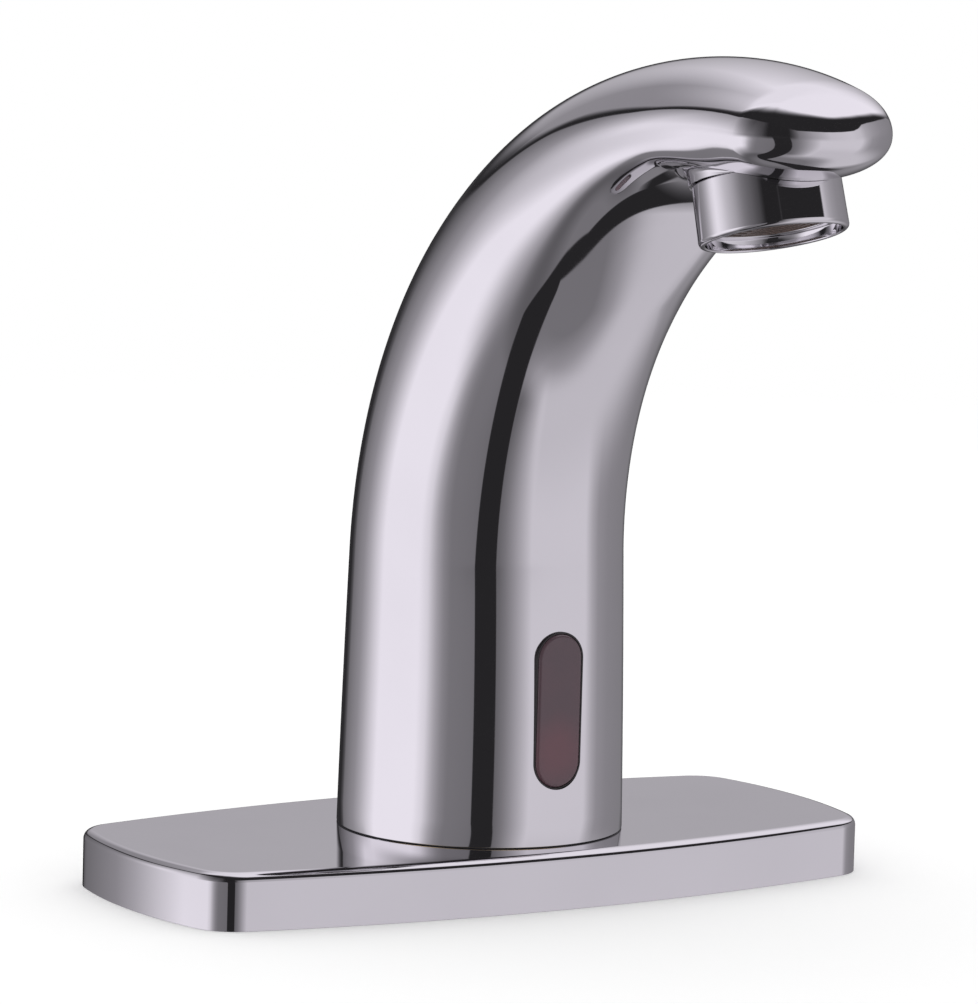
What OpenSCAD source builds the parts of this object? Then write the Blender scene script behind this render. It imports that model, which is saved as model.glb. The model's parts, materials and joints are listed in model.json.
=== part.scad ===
// Sensor basin faucet on a trim plate.
// Millimetres. +Z is up and -Y is the user's side. The origin is on the deck,
// under the plate, on the axis of the spout's upright part.

/* [Trim plate] */
// Length of the plate, left to right
plate_l = 152.4; // [140:0.1:260]
// Depth of the plate at its middle, front to back
plate_d = 69.5; // [66:0.5:80]
// Height of the plate above the deck
plate_h = 10.8; // [9.5:0.1:16]
// Radius along the plate's top edge
plate_edge_r = 1.3; // [0.5:0.1:2]
// Radius that the long edges bow with
plate_side_arc_r = 337; // [300:1:900]
// Radius that the short ends bow with
plate_end_arc_r = 91; // [80:1:200]
// Radius of the four corners
plate_corner_r = 7; // [5:0.5:12]
// Thickness of the plate's side wall
plate_wall = 2.4; // [1.6:0.1:3.6]
// Thickness of the plate's top
plate_top_t = 2.6; // [1.8:0.1:3.6]
// How far the plate's middle lies behind the spout's axis
plate_set_back = 1.3; // [0:0.1:3]
// Thickness of the foam pad under the plate
pad_t = 1.5; // [1:0.1:2.5]
// Thickness of the ribs under the plate
rib_t = 1.8; // [1.2:0.1:3]
// Distance between the two long ribs
rib_pitch = 44; // [42:1:50]

/* [Spout] */
// Radius of the spout at its foot
spout_r = 27.4; // [26.5:0.1:30]
// Height of the upright part
spout_riser = 51.5; // [48:0.5:90]
// Radius of the first bend, on the spout's middle line
bend_1_r = 82; // [70:1:110]
// Angle that the first bend turns through
bend_1_angle = 40; // [32:1:46]
// Radius of the second bend, on the spout's middle line
bend_2_r = 99; // [90:1:130]
// Angle that the second bend turns through
bend_2_angle = 60.5; // [54:0.5:66]
// Half the nose's thickness, before its round end
nose_half_t = 8.6; // [8:0.1:12]
// Half the nose's width, before its round end
nose_half_w = 14.4; // [13:0.1:20]
// How much the half width narrows steadily from foot to nose
side_taper = 4.5; // [2:0.1:6]
// How late the spout gets thinner along its length
thickness_power = 1.83; // [1.5:0.01:2.4]
// How late the nose gets narrower along its length
width_power = 6.2; // [4:0.1:8]
// Length of the round end
nose_cap_l = 11.6; // [9:0.1:14]
// Fullness of the round end, 2 is an ellipse
nose_cap_power = 2.2; // [2:0.1:3]
// Share by which the underside is flattened round the outlet
underside_flat = 0.5; // [0.3:0.01:0.52]
// Squareness that the flattened underside gains
underside_square = 0.5; // [0:0.1:1]
// Wall thickness of the casting
spout_wall = 2.6; // [2:0.1:3]
// Thickness of the gasket between spout and plate
base_gasket_t = 0.5; // [0.3:0.1:1.5]

/* [Outlet] */
// Distance from the nose's tip back to the outlet's axis
outlet_back = 26.6; // [25:0.1:30]
// Forward lean of the outlet, measured from square to the spout
outlet_lean = 12.4; // [6:0.1:16]
// Radius of the collar above the aerator
collar_r = 12.6; // [12.2:0.1:13]
// Height of the collar below the spout's underside
collar_h = 1.9; // [1.6:0.1:3]
// Gap seen between collar and aerator
seam_gap = 0.4; // [0.2:0.1:0.8]
// Radius of the aerator's housing
aerator_r = 13.5; // [13.2:0.1:15]
// Height of the aerator's housing
aerator_h = 10.2; // [9.6:0.1:13]
// Depth from the mouth up to the aerator's inner lip
mouth_depth = 2.2; // [1.8:0.1:2.6]
// Radius of the mouth
mouth_r = 12.3; // [11.6:0.1:12.6]
// Thread radius of the neck that the aerator screws on
neck_r = 11; // [10.8:0.1:11.2]
// Length of the neck's thread inside the aerator
neck_engagement = 4; // [3.6:0.1:4.2]

/* [Waterway] */
// Outer radius of the water tube
tube_r = 4; // [3.5:0.1:4.2]
// Wall thickness of the water tube
tube_wall = 0.8; // [0.6:0.1:1]
// How far the tube stands behind the spout's axis
tube_set_back = 4; // [3:0.1:5]
// How much tighter the tube's second bend is than the spout's
tube_bend_inset = 3; // [2:0.1:5]
// Straight length of the tube before the elbow's middle
tube_end_l = 14; // [12:0.5:16]
// Wall radius of the threaded water inlet, M10 x 1
inlet_thread_r = 4.5; // [4.2:0.05:4.6]
// Depth of the inlet's thread
inlet_thread_l = 12; // [9:0.5:13]
// Outer radius of the inlet fitting
fitting_r = 6.5; // [6.2:0.1:6.8]

/* [Mounting base] */
// How far the spigot that centres the plate lies inside the spout's outside
spigot_inset = 9.4; // [8.8:0.1:9.8]
// Thickness of the base inside the spout
base_t = 7; // [6.5:0.1:9]
// Distance between the two fixing studs' holes
stud_pitch = 25; // [24.5:0.1:26]
// Wall radius of the studs' threaded holes, M6
stud_hole_r = 2.5; // [2:0.05:2.6]
// Depth of the studs' threaded holes
stud_hole_l = 12; // [8:0.5:14]
// Radius of the locating pins
pin_r = 1.5; // [1.2:0.1:1.7]
// How far each locating pin's middle lies inside the spout's outside
pin_inset = 5.4; // [5:0.1:5.6]
// Shank radius of the base screws, M4
base_screw_r = 2; // [1.6:0.1:2.2]
// Length of the base screws' shanks
base_screw_l = 12; // [9:0.5:14]

/* [Sensor] */
// Width of the sensor's window slot
window_w = 10.4; // [9.6:0.1:11]
// Height of the sensor's window slot
window_l = 30; // [28:0.5:34]
// Height of the window's middle above the spout's foot
window_rise = 25.4; // [25:0.1:30]
// Thickness of the black seal round the lens
seal_t = 0.4; // [0.3:0.05:0.6]
// How far the lens lies behind the spout's front
lens_recess = 0.2; // [0.1:0.05:0.6]
// Depth of the sensor's case
case_depth = 12; // [11.5:0.1:12.4]
// Wall thickness of the sensor's case
case_wall = 1.4; // [1:0.1:1.6]
// Thickness of the circuit board
board_t = 1.2; // [0.8:0.1:1.6]
// Radius of the infrared emitter and receiver
diode_r = 2.5; // [2:0.1:3]
// Distance between emitter and receiver
diode_pitch = 14; // [12:0.5:16]
// Radius of the sensor's lead
lead_r = 1.4; // [1:0.1:1.6]
// Thickness of the bracket's sheet
bracket_t = 1.2; // [0.8:0.1:1.4]
// Shank radius of the bracket screws, M3
bracket_screw_r = 1.5; // [1.2:0.1:1.7]

/* [Fits] */
// Radial play of threads and of pins in their holes
fit_gap = 0.05; // [0.02:0.01:0.1]
// Radial play between cast or moulded pieces
loose_gap = 0.3; // [0.2:0.05:0.5]
// Radial play between a screw and the wall of its threaded hole
screw_gap = 0.05; // [0.02:0.01:0.1]

/* [Hidden] */

$fn = 72;
eps = 0.01;
chrome = [0.78, 0.78, 0.80];
brass = [0.80, 0.66, 0.36];
steel = [0.66, 0.67, 0.69];
black_rubber = [0.10, 0.10, 0.11];
black_plastic = [0.16, 0.16, 0.17];

// Heights above the deck
spout_z = plate_h + base_gasket_t;
base_top_z = spout_z + base_t;
plate_roof_z = plate_h - plate_top_t;

spigot_r = spout_r - spigot_inset;
pin_ring_r = spout_r - pin_inset;

// The spout's middle line: upright, then two bends that meet smoothly
bend_1_l = bend_1_r * bend_1_angle * PI / 180;
bend_2_l = bend_2_r * bend_2_angle * PI / 180;
spout_l = spout_riser + bend_1_l + bend_2_l;
bend_z = spout_z + spout_riser;

function deg(length, radius) = length / radius * 180 / PI;
function turn_1(s) = min(max(deg(s - spout_riser, bend_1_r), 0), bend_1_angle);
function turn_2(s) = max(deg(s - spout_riser - bend_1_l, bend_2_r), 0);
function heading(s) = turn_1(s) + turn_2(s);
function line_y(s) = -bend_1_r * (1 - cos(turn_1(s)))
    - bend_2_r * (cos(turn_1(s)) - cos(heading(s)));
function line_z(s) = spout_z + min(s, spout_riser) + bend_1_r * sin(turn_1(s))
    + bend_2_r * (sin(heading(s)) - sin(turn_1(s)));

// Half sizes of the spout's section at a distance along the middle line
flat_from = 0.66;
flat_to = 0.94;
function ease(u) = let (v = min(max(u, 0), 1)) v * v * (3 - 2 * v);
function flatness(s) = ease((s / spout_l - flat_from) / (flat_to - flat_from));
function cap(s) = let (q = min(max((s - spout_l + nose_cap_l) / nose_cap_l, 0), 1))
    pow(max(1 - pow(q, nose_cap_power), 0), 1 / nose_cap_power);
function half_up(s) = cap(s)
    * (spout_r - (spout_r - nose_half_t) * pow(s / spout_l, thickness_power));
function half_low(s) = half_up(s) * (1 - underside_flat * flatness(s));
function half_wide(s) = cap(s) * (spout_r - side_taper * s / spout_l
    - (spout_r - side_taper - nose_half_w) * pow(s / spout_l, width_power));

// One point of the section; turn 90 faces the underside, inset shrinks the section
function rounded(v, power) = sign(v) * pow(abs(v), 2 / power);
function section_point(s, turn, inset) =
    let (low = sin(turn) > 0,
         power = low ? 2 + underside_square * flatness(s) : 2,
         reach = (low ? half_low(s) : half_up(s)) - inset,
         x = (half_wide(s) - inset) * rounded(cos(turn), power),
         v = reach * rounded(sin(turn), power))
    [x, line_y(s) - v * cos(heading(s)), line_z(s) - v * sin(heading(s))];

outer_sides = 40;
inner_sides = 32;
riser_rings = 4;
bend_rings = 24;
cap_rings = 8;
cavity_stop = 14.8;
inner_bend_rings = 22;
bend_l = bend_1_l + bend_2_l;
outer_stations = concat(
    [for (k = [0 : riser_rings]) spout_riser * k / riser_rings],
    [for (k = [1 : bend_rings]) spout_riser + (bend_l - nose_cap_l) * k / bend_rings],
    [for (k = [1 : cap_rings - 1]) spout_l - nose_cap_l * (1 - sin(90 * k / cap_rings))]);
inner_stations = concat(
    [-1],
    [for (k = [1 : riser_rings]) spout_riser * k / riser_rings],
    [for (k = [1 : inner_bend_rings])
        spout_riser + (bend_l - cavity_stop) * k / inner_bend_rings]);

// A skin over rings of points, closed by a face at the foot and by one tip point
module skin(stations, sides, inset, tip) {
    n = len(stations);
    points = concat(
        [for (s = stations) for (k = [0 : sides - 1])
            let (p = section_point(max(s, 0), 360 * k / sides, inset))
            [p[0], p[1], p[2] + min(s, 0)]],
        [tip]);
    faces = concat(
        [[for (k = [sides - 1 : -1 : 0]) k]],
        [for (i = [0 : n - 2]) for (k = [0 : sides - 1])
            let (a = i * sides + k, b = i * sides + (k + 1) % sides)
            [a, b + sides, a + sides]],
        [for (i = [0 : n - 2]) for (k = [0 : sides - 1])
            let (a = i * sides + k, b = i * sides + (k + 1) % sides)
            [a, b, b + sides]],
        [for (k = [0 : sides - 1])
            [(n - 1) * sides + k, (n - 1) * sides + (k + 1) % sides, n * sides]]);
    polyhedron(points, faces, convexity = 6);
}

// The outlet's axis: it crosses the middle line at outlet_s and ends at the mouth
outlet_s = spout_l - outlet_back;
outlet_tilt = 90 - heading(outlet_s) + outlet_lean;
seam_m = aerator_h + seam_gap;
mouth_drop = half_low(outlet_s) + collar_h + seam_m;
mouth_y = line_y(outlet_s) - mouth_drop * sin(outlet_tilt);
mouth_z = line_z(outlet_s) - mouth_drop * cos(outlet_tilt);

// Places its children with their z = 0 in the mouth and +z going up the outlet
module at_outlet(up = 0) {
    translate([0, mouth_y, mouth_z])
        rotate([-outlet_tilt, 0, 0])
            translate([0, 0, up])
                children();
}

// Levels up the outlet's axis, measured from the mouth
lip_t = 0.8;
collar_socket = 2;
collar_seat_t = 3;
lip_top_m = mouth_depth + lip_t;
neck_low_m = aerator_h - neck_engagement;
shoulder_m = seam_m + collar_socket;
seat_m = shoulder_m + collar_seat_t;
nipple_r = 5;
nipple_grip = 4;
waterway_r = tube_r - tube_wall;

// The elbow's middle lies on the outlet's axis, straight ahead of the tube's last bend
tube_1_r = bend_1_r + tube_set_back;
tube_bend_2_r = bend_2_r - tube_bend_inset;
tube_2_cy = -bend_1_r + (tube_1_r - tube_bend_2_r) * cos(bend_1_angle);
tube_2_cz = bend_z + (tube_1_r - tube_bend_2_r) * sin(bend_1_angle);
away_y = mouth_y - tube_2_cy;
away_z = mouth_z - tube_2_cz;
along = away_y * sin(outlet_tilt) + away_z * cos(outlet_tilt);
elbow_m = -along + sqrt(along * along - away_y * away_y - away_z * away_z
    + tube_bend_2_r * tube_bend_2_r + tube_end_l * tube_end_l);
elbow_turn = atan2(away_z + elbow_m * cos(outlet_tilt), away_y + elbow_m * sin(outlet_tilt));
tube_end_turn = elbow_turn - atan(tube_end_l / tube_bend_2_r);
ball_r = tube_r + 2.4;
leg_r = tube_r + 2;
socket_r = tube_r + 1.6;
tube_stop = 5;

// Places its children at the elbow's middle with +z going back along the tube
module at_elbow() {
    at_outlet(elbow_m)
        rotate([outlet_tilt, 0, 0])
            rotate([tube_end_turn - 180, 0, 0])
                children();
}

// Where the plate's arcs meet: the centre of a corner's circle
side_cy = plate_side_arc_r - plate_d / 2;
end_cx = plate_end_arc_r - plate_l / 2;
side_reach = plate_side_arc_r - plate_corner_r;
end_reach = plate_end_arc_r - plate_corner_r;
slope = end_cx / side_cy;
level = (side_reach * side_reach - end_reach * end_reach
    - side_cy * side_cy + end_cx * end_cx) / (2 * side_cy);
half_b = (end_cx + level * slope) / (1 + slope * slope);
corner_x = -half_b + sqrt(half_b * half_b
    - (end_cx * end_cx + level * level - end_reach * end_reach) / (1 + slope * slope));
corner_y = level + slope * corner_x;
end_half = atan2(corner_y, corner_x + end_cx);
side_half = atan2(corner_x, corner_y + side_cy);
end_steps = 8;
corner_steps = 6;
side_steps = 14;

function arc(cx, cy, r, from, to, steps) =
    [for (k = [0 : steps - 1])
        let (a = from + (to - from) * k / steps)
        [cx + r * cos(a), cy + r * sin(a)]];

// The plate's outline, drawn in by the inset
function outline(inset) = concat(
    arc(-end_cx, 0, plate_end_arc_r - inset, -end_half, end_half, end_steps),
    arc(corner_x, corner_y, plate_corner_r - inset, end_half, 90 - side_half, corner_steps),
    arc(0, -side_cy, plate_side_arc_r - inset, 90 - side_half, 90 + side_half, side_steps),
    arc(-corner_x, corner_y, plate_corner_r - inset,
        90 + side_half, 180 - end_half, corner_steps),
    arc(end_cx, 0, plate_end_arc_r - inset, 180 - end_half, 180 + end_half, end_steps),
    arc(-corner_x, -corner_y, plate_corner_r - inset,
        180 + end_half, 270 - side_half, corner_steps),
    arc(0, side_cy, plate_side_arc_r - inset, 270 - side_half, 270 + side_half, side_steps),
    arc(corner_x, -corner_y, plate_corner_r - inset,
        270 + side_half, 360 - end_half, corner_steps));

module plate_prism(inset, z, h) {
    translate([0, plate_set_back, z])
        linear_extrude(height = h)
            polygon(outline(inset));
}

// The plate's outer form: upright sides and a rounded top edge
edge_steps = 5;
module plate_form() {
    levels = concat([[0, 0]],
        [for (k = [0 : edge_steps])
            let (a = 90 * k / edge_steps)
            [plate_h - plate_edge_r * (1 - sin(a)), plate_edge_r * (1 - cos(a))]]);
    n = len(outline(0));
    last = len(levels) - 1;
    points = [for (level = levels) for (p = outline(level[1]))
        [p[0], p[1] + plate_set_back, level[0]]];
    faces = concat(
        [[for (k = [0 : n - 1]) k]],
        [for (i = [0 : last - 1]) for (k = [0 : n - 1])
            [i * n + k, (i + 1) * n + k, (i + 1) * n + (k + 1) % n, i * n + (k + 1) % n]],
        [[for (k = [n - 1 : -1 : 0]) last * n + k]]);
    polyhedron(points, faces, convexity = 4);
}

// Round bar between two heights
module bar(r, z_from, z_to) {
    translate([0, 0, z_from])
        cylinder(r = r, h = z_to - z_from);
}

module ring(r_out, r_in, z_from, z_to) {
    difference() {
        bar(r_out, z_from, z_to);
        bar(r_in, z_from - 1, z_to + 1);
    }
}

module o_ring(middle_r, wire_r) {
    rotate_extrude()
        translate([middle_r, 0])
            circle(r = wire_r, $fn = 32);
}

// Three lugs in the spout take the base's screws
lug_count = 3;
lug_h = 12;
lug_root = 0.7;
rim_web = 0.4;
screw_head_r = base_screw_r * 1.75;
lug_ring_r = spout_r - spout_wall - loose_gap * 2 - rim_web - screw_head_r;
lug_r = spout_r - spout_wall + lug_root - lug_ring_r;
module at_lugs() {
    for (k = [0 : lug_count - 1])
        rotate(90 + 360 * k / lug_count)
            translate([lug_ring_r, 0, 0])
                children();
}

module at_pins() {
    for (side = [-1, 1])
        translate([side * pin_ring_r, 0, 0])
            children();
}

// A slot with round ends, as a block that runs along Y
module pill(w, l, y_from, y_to) {
    translate([0, y_to, window_z])
        rotate([90, 0, 0])
            linear_extrude(height = y_to - y_from)
                union() {
                    square([w, l - w], center = true);
                    for (side = [-1, 1])
                        translate([0, side * (l - w) / 2])
                            circle(d = w);
                }
}

window_z = spout_z + window_rise;

// The spout: one casting with its collar, its lugs and the slot for the window
module spout_body() {
    color(chrome)
        difference() {
            union() {
                difference() {
                    skin(outer_stations, outer_sides, 0,
                         [0, line_y(spout_l), line_z(spout_l)]);
                    skin(inner_stations, inner_sides, spout_wall,
                         [0, line_y(spout_l - cavity_stop + 1),
                          line_z(spout_l - cavity_stop + 1)]);
                }
                at_outlet()
                    bar(collar_r, seam_m, seat_m);
                at_lugs()
                    bar(lug_r, base_top_z, base_top_z + lug_h);
            }
            at_outlet() {
                bar(nipple_r + fit_gap, shoulder_m - eps, seat_m + 1);
                bar(neck_r + fit_gap, seam_m - 1, shoulder_m);
                bar(aerator_r + loose_gap, 0, seam_m);
            }
            at_lugs()
                bar(base_screw_r - thread_depth, base_top_z - eps, base_top_z + lug_h - 1);
            pill(window_w, window_l, -spout_r - 1, -spout_r + spout_wall + 1.5);
        }
}

// The sensor's pieces: the case's front corners touch nothing where the wall is nearest
lens_flange = 1;
lens_flange_t = 0.8;
case_margin = 2.8;
case_base_gap = 0.8;
board_gap = 0.6;
board_depth = 5.2;
bracket_foot_l = 6;
bracket_edge = 1.3;
lens_front_y = -spout_r + lens_recess;
case_half_w = window_w / 2 + case_margin;
case_top_z = window_z + window_l / 2 + case_margin;
case_low_z = base_top_z + case_base_gap;
case_reach = half_low(case_top_z - spout_z) - spout_wall - loose_gap;
case_front_y = -sqrt(pow(case_reach, 2) - pow(case_half_w, 2));
case_back_y = case_front_y + case_depth;
bracket_screw_y = case_back_y + bracket_foot_l - bracket_screw_r - bracket_edge;
board_y = case_front_y + board_depth;
board_half_w = case_half_w - case_wall - board_gap;
board_low_z = case_low_z + case_wall + board_gap;
board_top_z = case_top_z - case_wall - board_gap;

hub_wall = 2.5;
pin_boss_r = 3.4;
pin_l = 10;
pin_z = plate_roof_z - 3;
cross_rib_x = 48;
thread_depth = 0.35;

// The trim plate: a shell with a hub round the spigot, ribs and two pin bosses
module trim_plate() {
    color(chrome)
        difference() {
            union() {
                difference() {
                    plate_form();
                    plate_prism(plate_wall, -1, plate_roof_z + 1);
                }
                intersection() {
                    plate_prism(plate_wall / 2, pad_t, plate_roof_z - pad_t + eps);
                    translate([0, 0, pad_t])
                        plate_ribs(plate_roof_z - pad_t + 1);
                }
                bar(spigot_r + loose_gap + hub_wall, pad_t, plate_roof_z + eps);
                at_pins()
                    bar(pin_boss_r, plate_roof_z - 4, plate_roof_z + eps);
            }
            bar(spigot_r + loose_gap, -1, plate_h + 1);
            at_pins()
                bar(pin_r + fit_gap, 0, plate_h + 1);
        }
}

module plate_ribs(h) {
    for (side = [-1, 1]) {
        translate([-plate_l / 2, plate_set_back + side * rib_pitch / 2 - rib_t / 2, 0])
            cube([plate_l, rib_t, h]);
        translate([side * cross_rib_x - rib_t / 2, plate_set_back - plate_d / 2, 0])
            cube([rib_t, plate_d, h]);
    }
}

module plate_pad() {
    color([0.20, 0.20, 0.21])
        difference() {
            plate_prism(plate_wall + loose_gap, 0, pad_t);
            bar(spigot_r + loose_gap * 2, -1, pad_t + 1);
        }
}

module base_gasket() {
    color(black_rubber)
        difference() {
            ring(spout_r - 0.8, spigot_r + loose_gap, plate_h, spout_z);
            at_pins()
                bar(pin_r + fit_gap, plate_h - 1, spout_z + 1);
        }
}

screw_head_h = 2.4;
base_screw_flats = 2.5;
base_head_z = spout_z + screw_head_h + 0.3;
nut_flats = fitting_r * 2 + 2;
nut_h = 4;
nut_z = 1;
cable_y = -spigot_r + 4.5;
grommet_r = lead_r + 1.5;
grommet_h = 5.5;
bracket_screw_x = 9;
bracket_screw_l = 5;
bracket_head_h = 1.6;
bracket_screw_flats = 1.8;

// The base that closes the spout's foot and carries the fixing studs
module mounting_base() {
    color(brass)
        difference() {
            union() {
                bar(spout_r - spout_wall - loose_gap, spout_z, base_top_z);
                bar(spigot_r, 0, spout_z + eps);
            }
            for (side = [-1, 1])
                translate([side * stud_pitch / 2, 0, 0])
                    bar(stud_hole_r, -1, stud_hole_l);
            translate([0, tube_set_back, 0]) {
                bar(fitting_r + fit_gap, -1, base_top_z + 1);
                bar(nut_flats / sqrt(3) + loose_gap, -1, nut_z + nut_h);
            }
            translate([0, cable_y, 0]) {
                bar(grommet_r + fit_gap, -1, grommet_h + 0.5);
                bar(lead_r + loose_gap, 0, base_top_z + 1);
            }
            at_pins()
                bar(pin_r + fit_gap, spout_z - 1, pin_z + pin_l + 0.5);
            at_lugs() {
                bar(base_screw_r + fit_gap, spout_z - 1, base_top_z + 1);
                bar(screw_head_r + loose_gap, spout_z - 1, base_head_z);
            }
            for (side = [-1, 1])
                translate([side * bracket_screw_x, bracket_screw_y, 0])
                    bar(bracket_screw_r - thread_depth, base_top_z - bracket_screw_l,
                        base_top_z + 1);
        }
}

module screw(shank_r, shank_l, head_r, head_h, hex_flats) {
    difference() {
        union() {
            bar(head_r, -head_h, 0);
            bar(shank_r, -eps, shank_l);
        }
        translate([0, 0, -head_h - 1])
            cylinder(r = hex_flats / sqrt(3), h = head_h / 2 + 1, $fn = 6);
    }
}

// Screws are drawn at the core of their thread, so that they clear the holes' walls
module base_screws() {
    color(steel)
        at_lugs()
            translate([0, 0, base_head_z])
                screw(base_screw_r - thread_depth - screw_gap, base_screw_l,
                      screw_head_r, screw_head_h, base_screw_flats);
}

module locating_pins() {
    color(steel)
        at_pins()
            bar(pin_r, pin_z, pin_z + pin_l);
}

fitting_z = 0.6;
shoulder_t = 2;
socket_l = 8;
o_ring_wire = 0.9;
o_ring_z = base_top_z - 3;

// The inlet fitting: hose thread below, shoulder on the base, tube socket above
module inlet_fitting() {
    color(brass)
        translate([0, tube_set_back, 0])
            difference() {
                union() {
                    bar(fitting_r, fitting_z, base_top_z + eps);
                    bar(fitting_r + 1, base_top_z, base_top_z + shoulder_t + eps);
                    bar(tube_r + 1.4, base_top_z + shoulder_t, base_top_z + socket_l);
                }
                bar(inlet_thread_r, fitting_z - 1, fitting_z + inlet_thread_l);
                bar(waterway_r, fitting_z, base_top_z + 1);
                bar(tube_r + fit_gap, base_top_z, base_top_z + socket_l + 1);
                translate([0, 0, o_ring_z])
                    ring(fitting_r + 1, fitting_r - 2 * o_ring_wire,
                         -o_ring_wire - 0.1, o_ring_wire + 0.1);
            }
}

module inlet_o_ring() {
    color(black_rubber)
        translate([0, tube_set_back, o_ring_z])
            o_ring(fitting_r - o_ring_wire, o_ring_wire);
}

module inlet_lock_nut() {
    color(brass)
        translate([0, tube_set_back, 0])
            difference() {
                translate([0, 0, nut_z])
                    cylinder(r = nut_flats / sqrt(3), h = nut_h, $fn = 6);
                bar(fitting_r + fit_gap, 0, nut_z + nut_h + 1);
            }
}

// Places along the water tube, each as y, z and heading: upright, two bends, end
tube_sides = 24;
tube_bend_steps = 14;
tube_end_y = tube_2_cy + tube_bend_2_r * cos(tube_end_turn);
tube_end_z = tube_2_cz + tube_bend_2_r * sin(tube_end_turn);
tube_places = concat(
    [[tube_set_back, base_top_z, 0]],
    [for (k = [0 : tube_bend_steps])
        let (a = bend_1_angle * k / tube_bend_steps)
        [tube_1_r * cos(a) - bend_1_r, bend_z + tube_1_r * sin(a), a]],
    [for (k = [1 : tube_bend_steps])
        let (a = bend_1_angle + (tube_end_turn - bend_1_angle) * k / tube_bend_steps)
        [tube_2_cy + tube_bend_2_r * cos(a), tube_2_cz + tube_bend_2_r * sin(a), a]],
    [[tube_end_y - (tube_end_l - tube_stop) * sin(tube_end_turn),
      tube_end_z + (tube_end_l - tube_stop) * cos(tube_end_turn), tube_end_turn]]);

function tube_points(r) =
    [for (place = tube_places) for (k = [0 : tube_sides - 1])
        let (a = 360 * k / tube_sides)
        [r * cos(a), place[0] + r * sin(a) * cos(place[2]),
         place[1] + r * sin(a) * sin(place[2])]];

module waterway_tube() {
    rings = len(tube_places);
    inner = rings * tube_sides;
    last = (rings - 1) * tube_sides;
    pairs = [for (k = [0 : tube_sides - 1]) [k, (k + 1) % tube_sides]];
    faces = concat(
        [for (i = [0 : rings - 2]) for (p = pairs)
            [for (j = [p[0], p[0] + tube_sides, p[1] + tube_sides, p[1]]) i * tube_sides + j]],
        [for (i = [0 : rings - 2]) for (p = pairs)
            [for (j = [p[0], p[1], p[1] + tube_sides, p[0] + tube_sides])
                inner + i * tube_sides + j]],
        [for (p = pairs) [p[0], p[1], inner + p[1], inner + p[0]]],
        [for (p = pairs)
            [last + p[0], inner + last + p[0], inner + last + p[1], last + p[1]]]);
    color([0.80, 0.50, 0.34])
        polyhedron(concat(tube_points(tube_r), tube_points(waterway_r)), faces, convexity = 6);
}

foot_r = 8.6;
foot_t = 1.8;

// The elbow: it stands on the seat inside the nose and turns the water down
module outlet_elbow() {
    color(brass)
        difference() {
            union() {
                at_outlet() {
                    bar(leg_r, seat_m, elbow_m);
                    bar(foot_r, seat_m, seat_m + foot_t);
                }
                at_elbow() {
                    sphere(r = ball_r);
                    bar(socket_r, 0, tube_end_l);
                }
            }
            at_outlet() {
                bar(nipple_r + fit_gap, seat_m - 1, seat_m + nipple_grip + 0.2);
                bar(waterway_r, seat_m, elbow_m);
            }
            at_elbow() {
                sphere(r = waterway_r + 0.3);
                bar(waterway_r - 0.2, 0, tube_end_l);
                bar(tube_r + fit_gap, tube_stop, tube_end_l + 1);
            }
        }
}

neck_bore_r = 8.8;
outlet_wire = 0.7;
outlet_ring_m = shoulder_m - collar_socket / 2;

// The nipple: it clamps the casting to the elbow and carries the aerator's thread
module outlet_nipple() {
    color(brass)
        at_outlet()
            difference() {
                union() {
                    bar(neck_r, neck_low_m, shoulder_m);
                    bar(nipple_r, shoulder_m - eps, seat_m + nipple_grip);
                }
                bar(neck_bore_r, neck_low_m - 1, seam_m - 0.8);
                bar(waterway_r, neck_low_m, seat_m + nipple_grip + 1);
                translate([0, 0, outlet_ring_m])
                    ring(neck_r + 1, neck_r - 2 * outlet_wire,
                         -outlet_wire - fit_gap, outlet_wire + fit_gap);
            }
}

module outlet_o_ring() {
    color(black_rubber)
        at_outlet(outlet_ring_m)
            o_ring(neck_r - outlet_wire, outlet_wire);
}

housing_bore_r = neck_r + fit_gap;
lip_r = housing_bore_r - 0.7;
edge_r = 0.5;

// The housing: a plain ring outside, thread and lip inside, rounded at both ends
module aerator_housing() {
    color(chrome)
        at_outlet()
            rotate_extrude()
                difference() {
                    union() {
                        translate([lip_r, edge_r])
                            square([aerator_r - lip_r, aerator_h - 2 * edge_r]);
                        translate([mouth_r + 0.1, 0])
                            square([aerator_r - edge_r - mouth_r - 0.1, aerator_h]);
                        translate([lip_r, aerator_h - 1])
                            square([aerator_r - edge_r - lip_r, 1]);
                        for (z = [edge_r, aerator_h - edge_r])
                            translate([aerator_r - edge_r, z])
                                circle(r = edge_r, $fn = 32);
                    }
                    translate([0, -1])
                        square([mouth_r, mouth_depth + 1]);
                    translate([0, lip_top_m])
                        square([housing_bore_r, aerator_h]);
                }
}

insert_flange_t = neck_low_m - lip_top_m - 1;
washer_t = 1;
insert_r = neck_r - 0.3;
face_r = lip_r - 0.15;
cup_r = neck_bore_r - 0.2;
cup_top_m = neck_low_m + 1.6;
ridge_pitch = 1.7;
ridge_w = 0.6;
ridge_count = 5;

// The insert: a cup with a face of rings and spokes that the water leaves through
module aerator_insert() {
    color([0.42, 0.36, 0.33])
        at_outlet()
            difference() {
                union() {
                    bar(insert_r, lip_top_m, lip_top_m + insert_flange_t);
                    bar(face_r, mouth_depth + 0.2, lip_top_m + eps);
                    bar(cup_r, lip_top_m, cup_top_m);
                }
                bar(cup_r - 1, lip_top_m + 1, cup_top_m + 1);
                for (k = [1 : ridge_count])
                    difference() {
                        ring(face_r - k * ridge_pitch + ridge_pitch - ridge_w,
                             face_r - k * ridge_pitch, 0, lip_top_m + 2);
                        for (turn = [0, 90])
                            rotate(turn)
                                translate([-face_r, -0.5, 0])
                                    cube([2 * face_r, 1, aerator_h]);
                    }
            }
}

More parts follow.
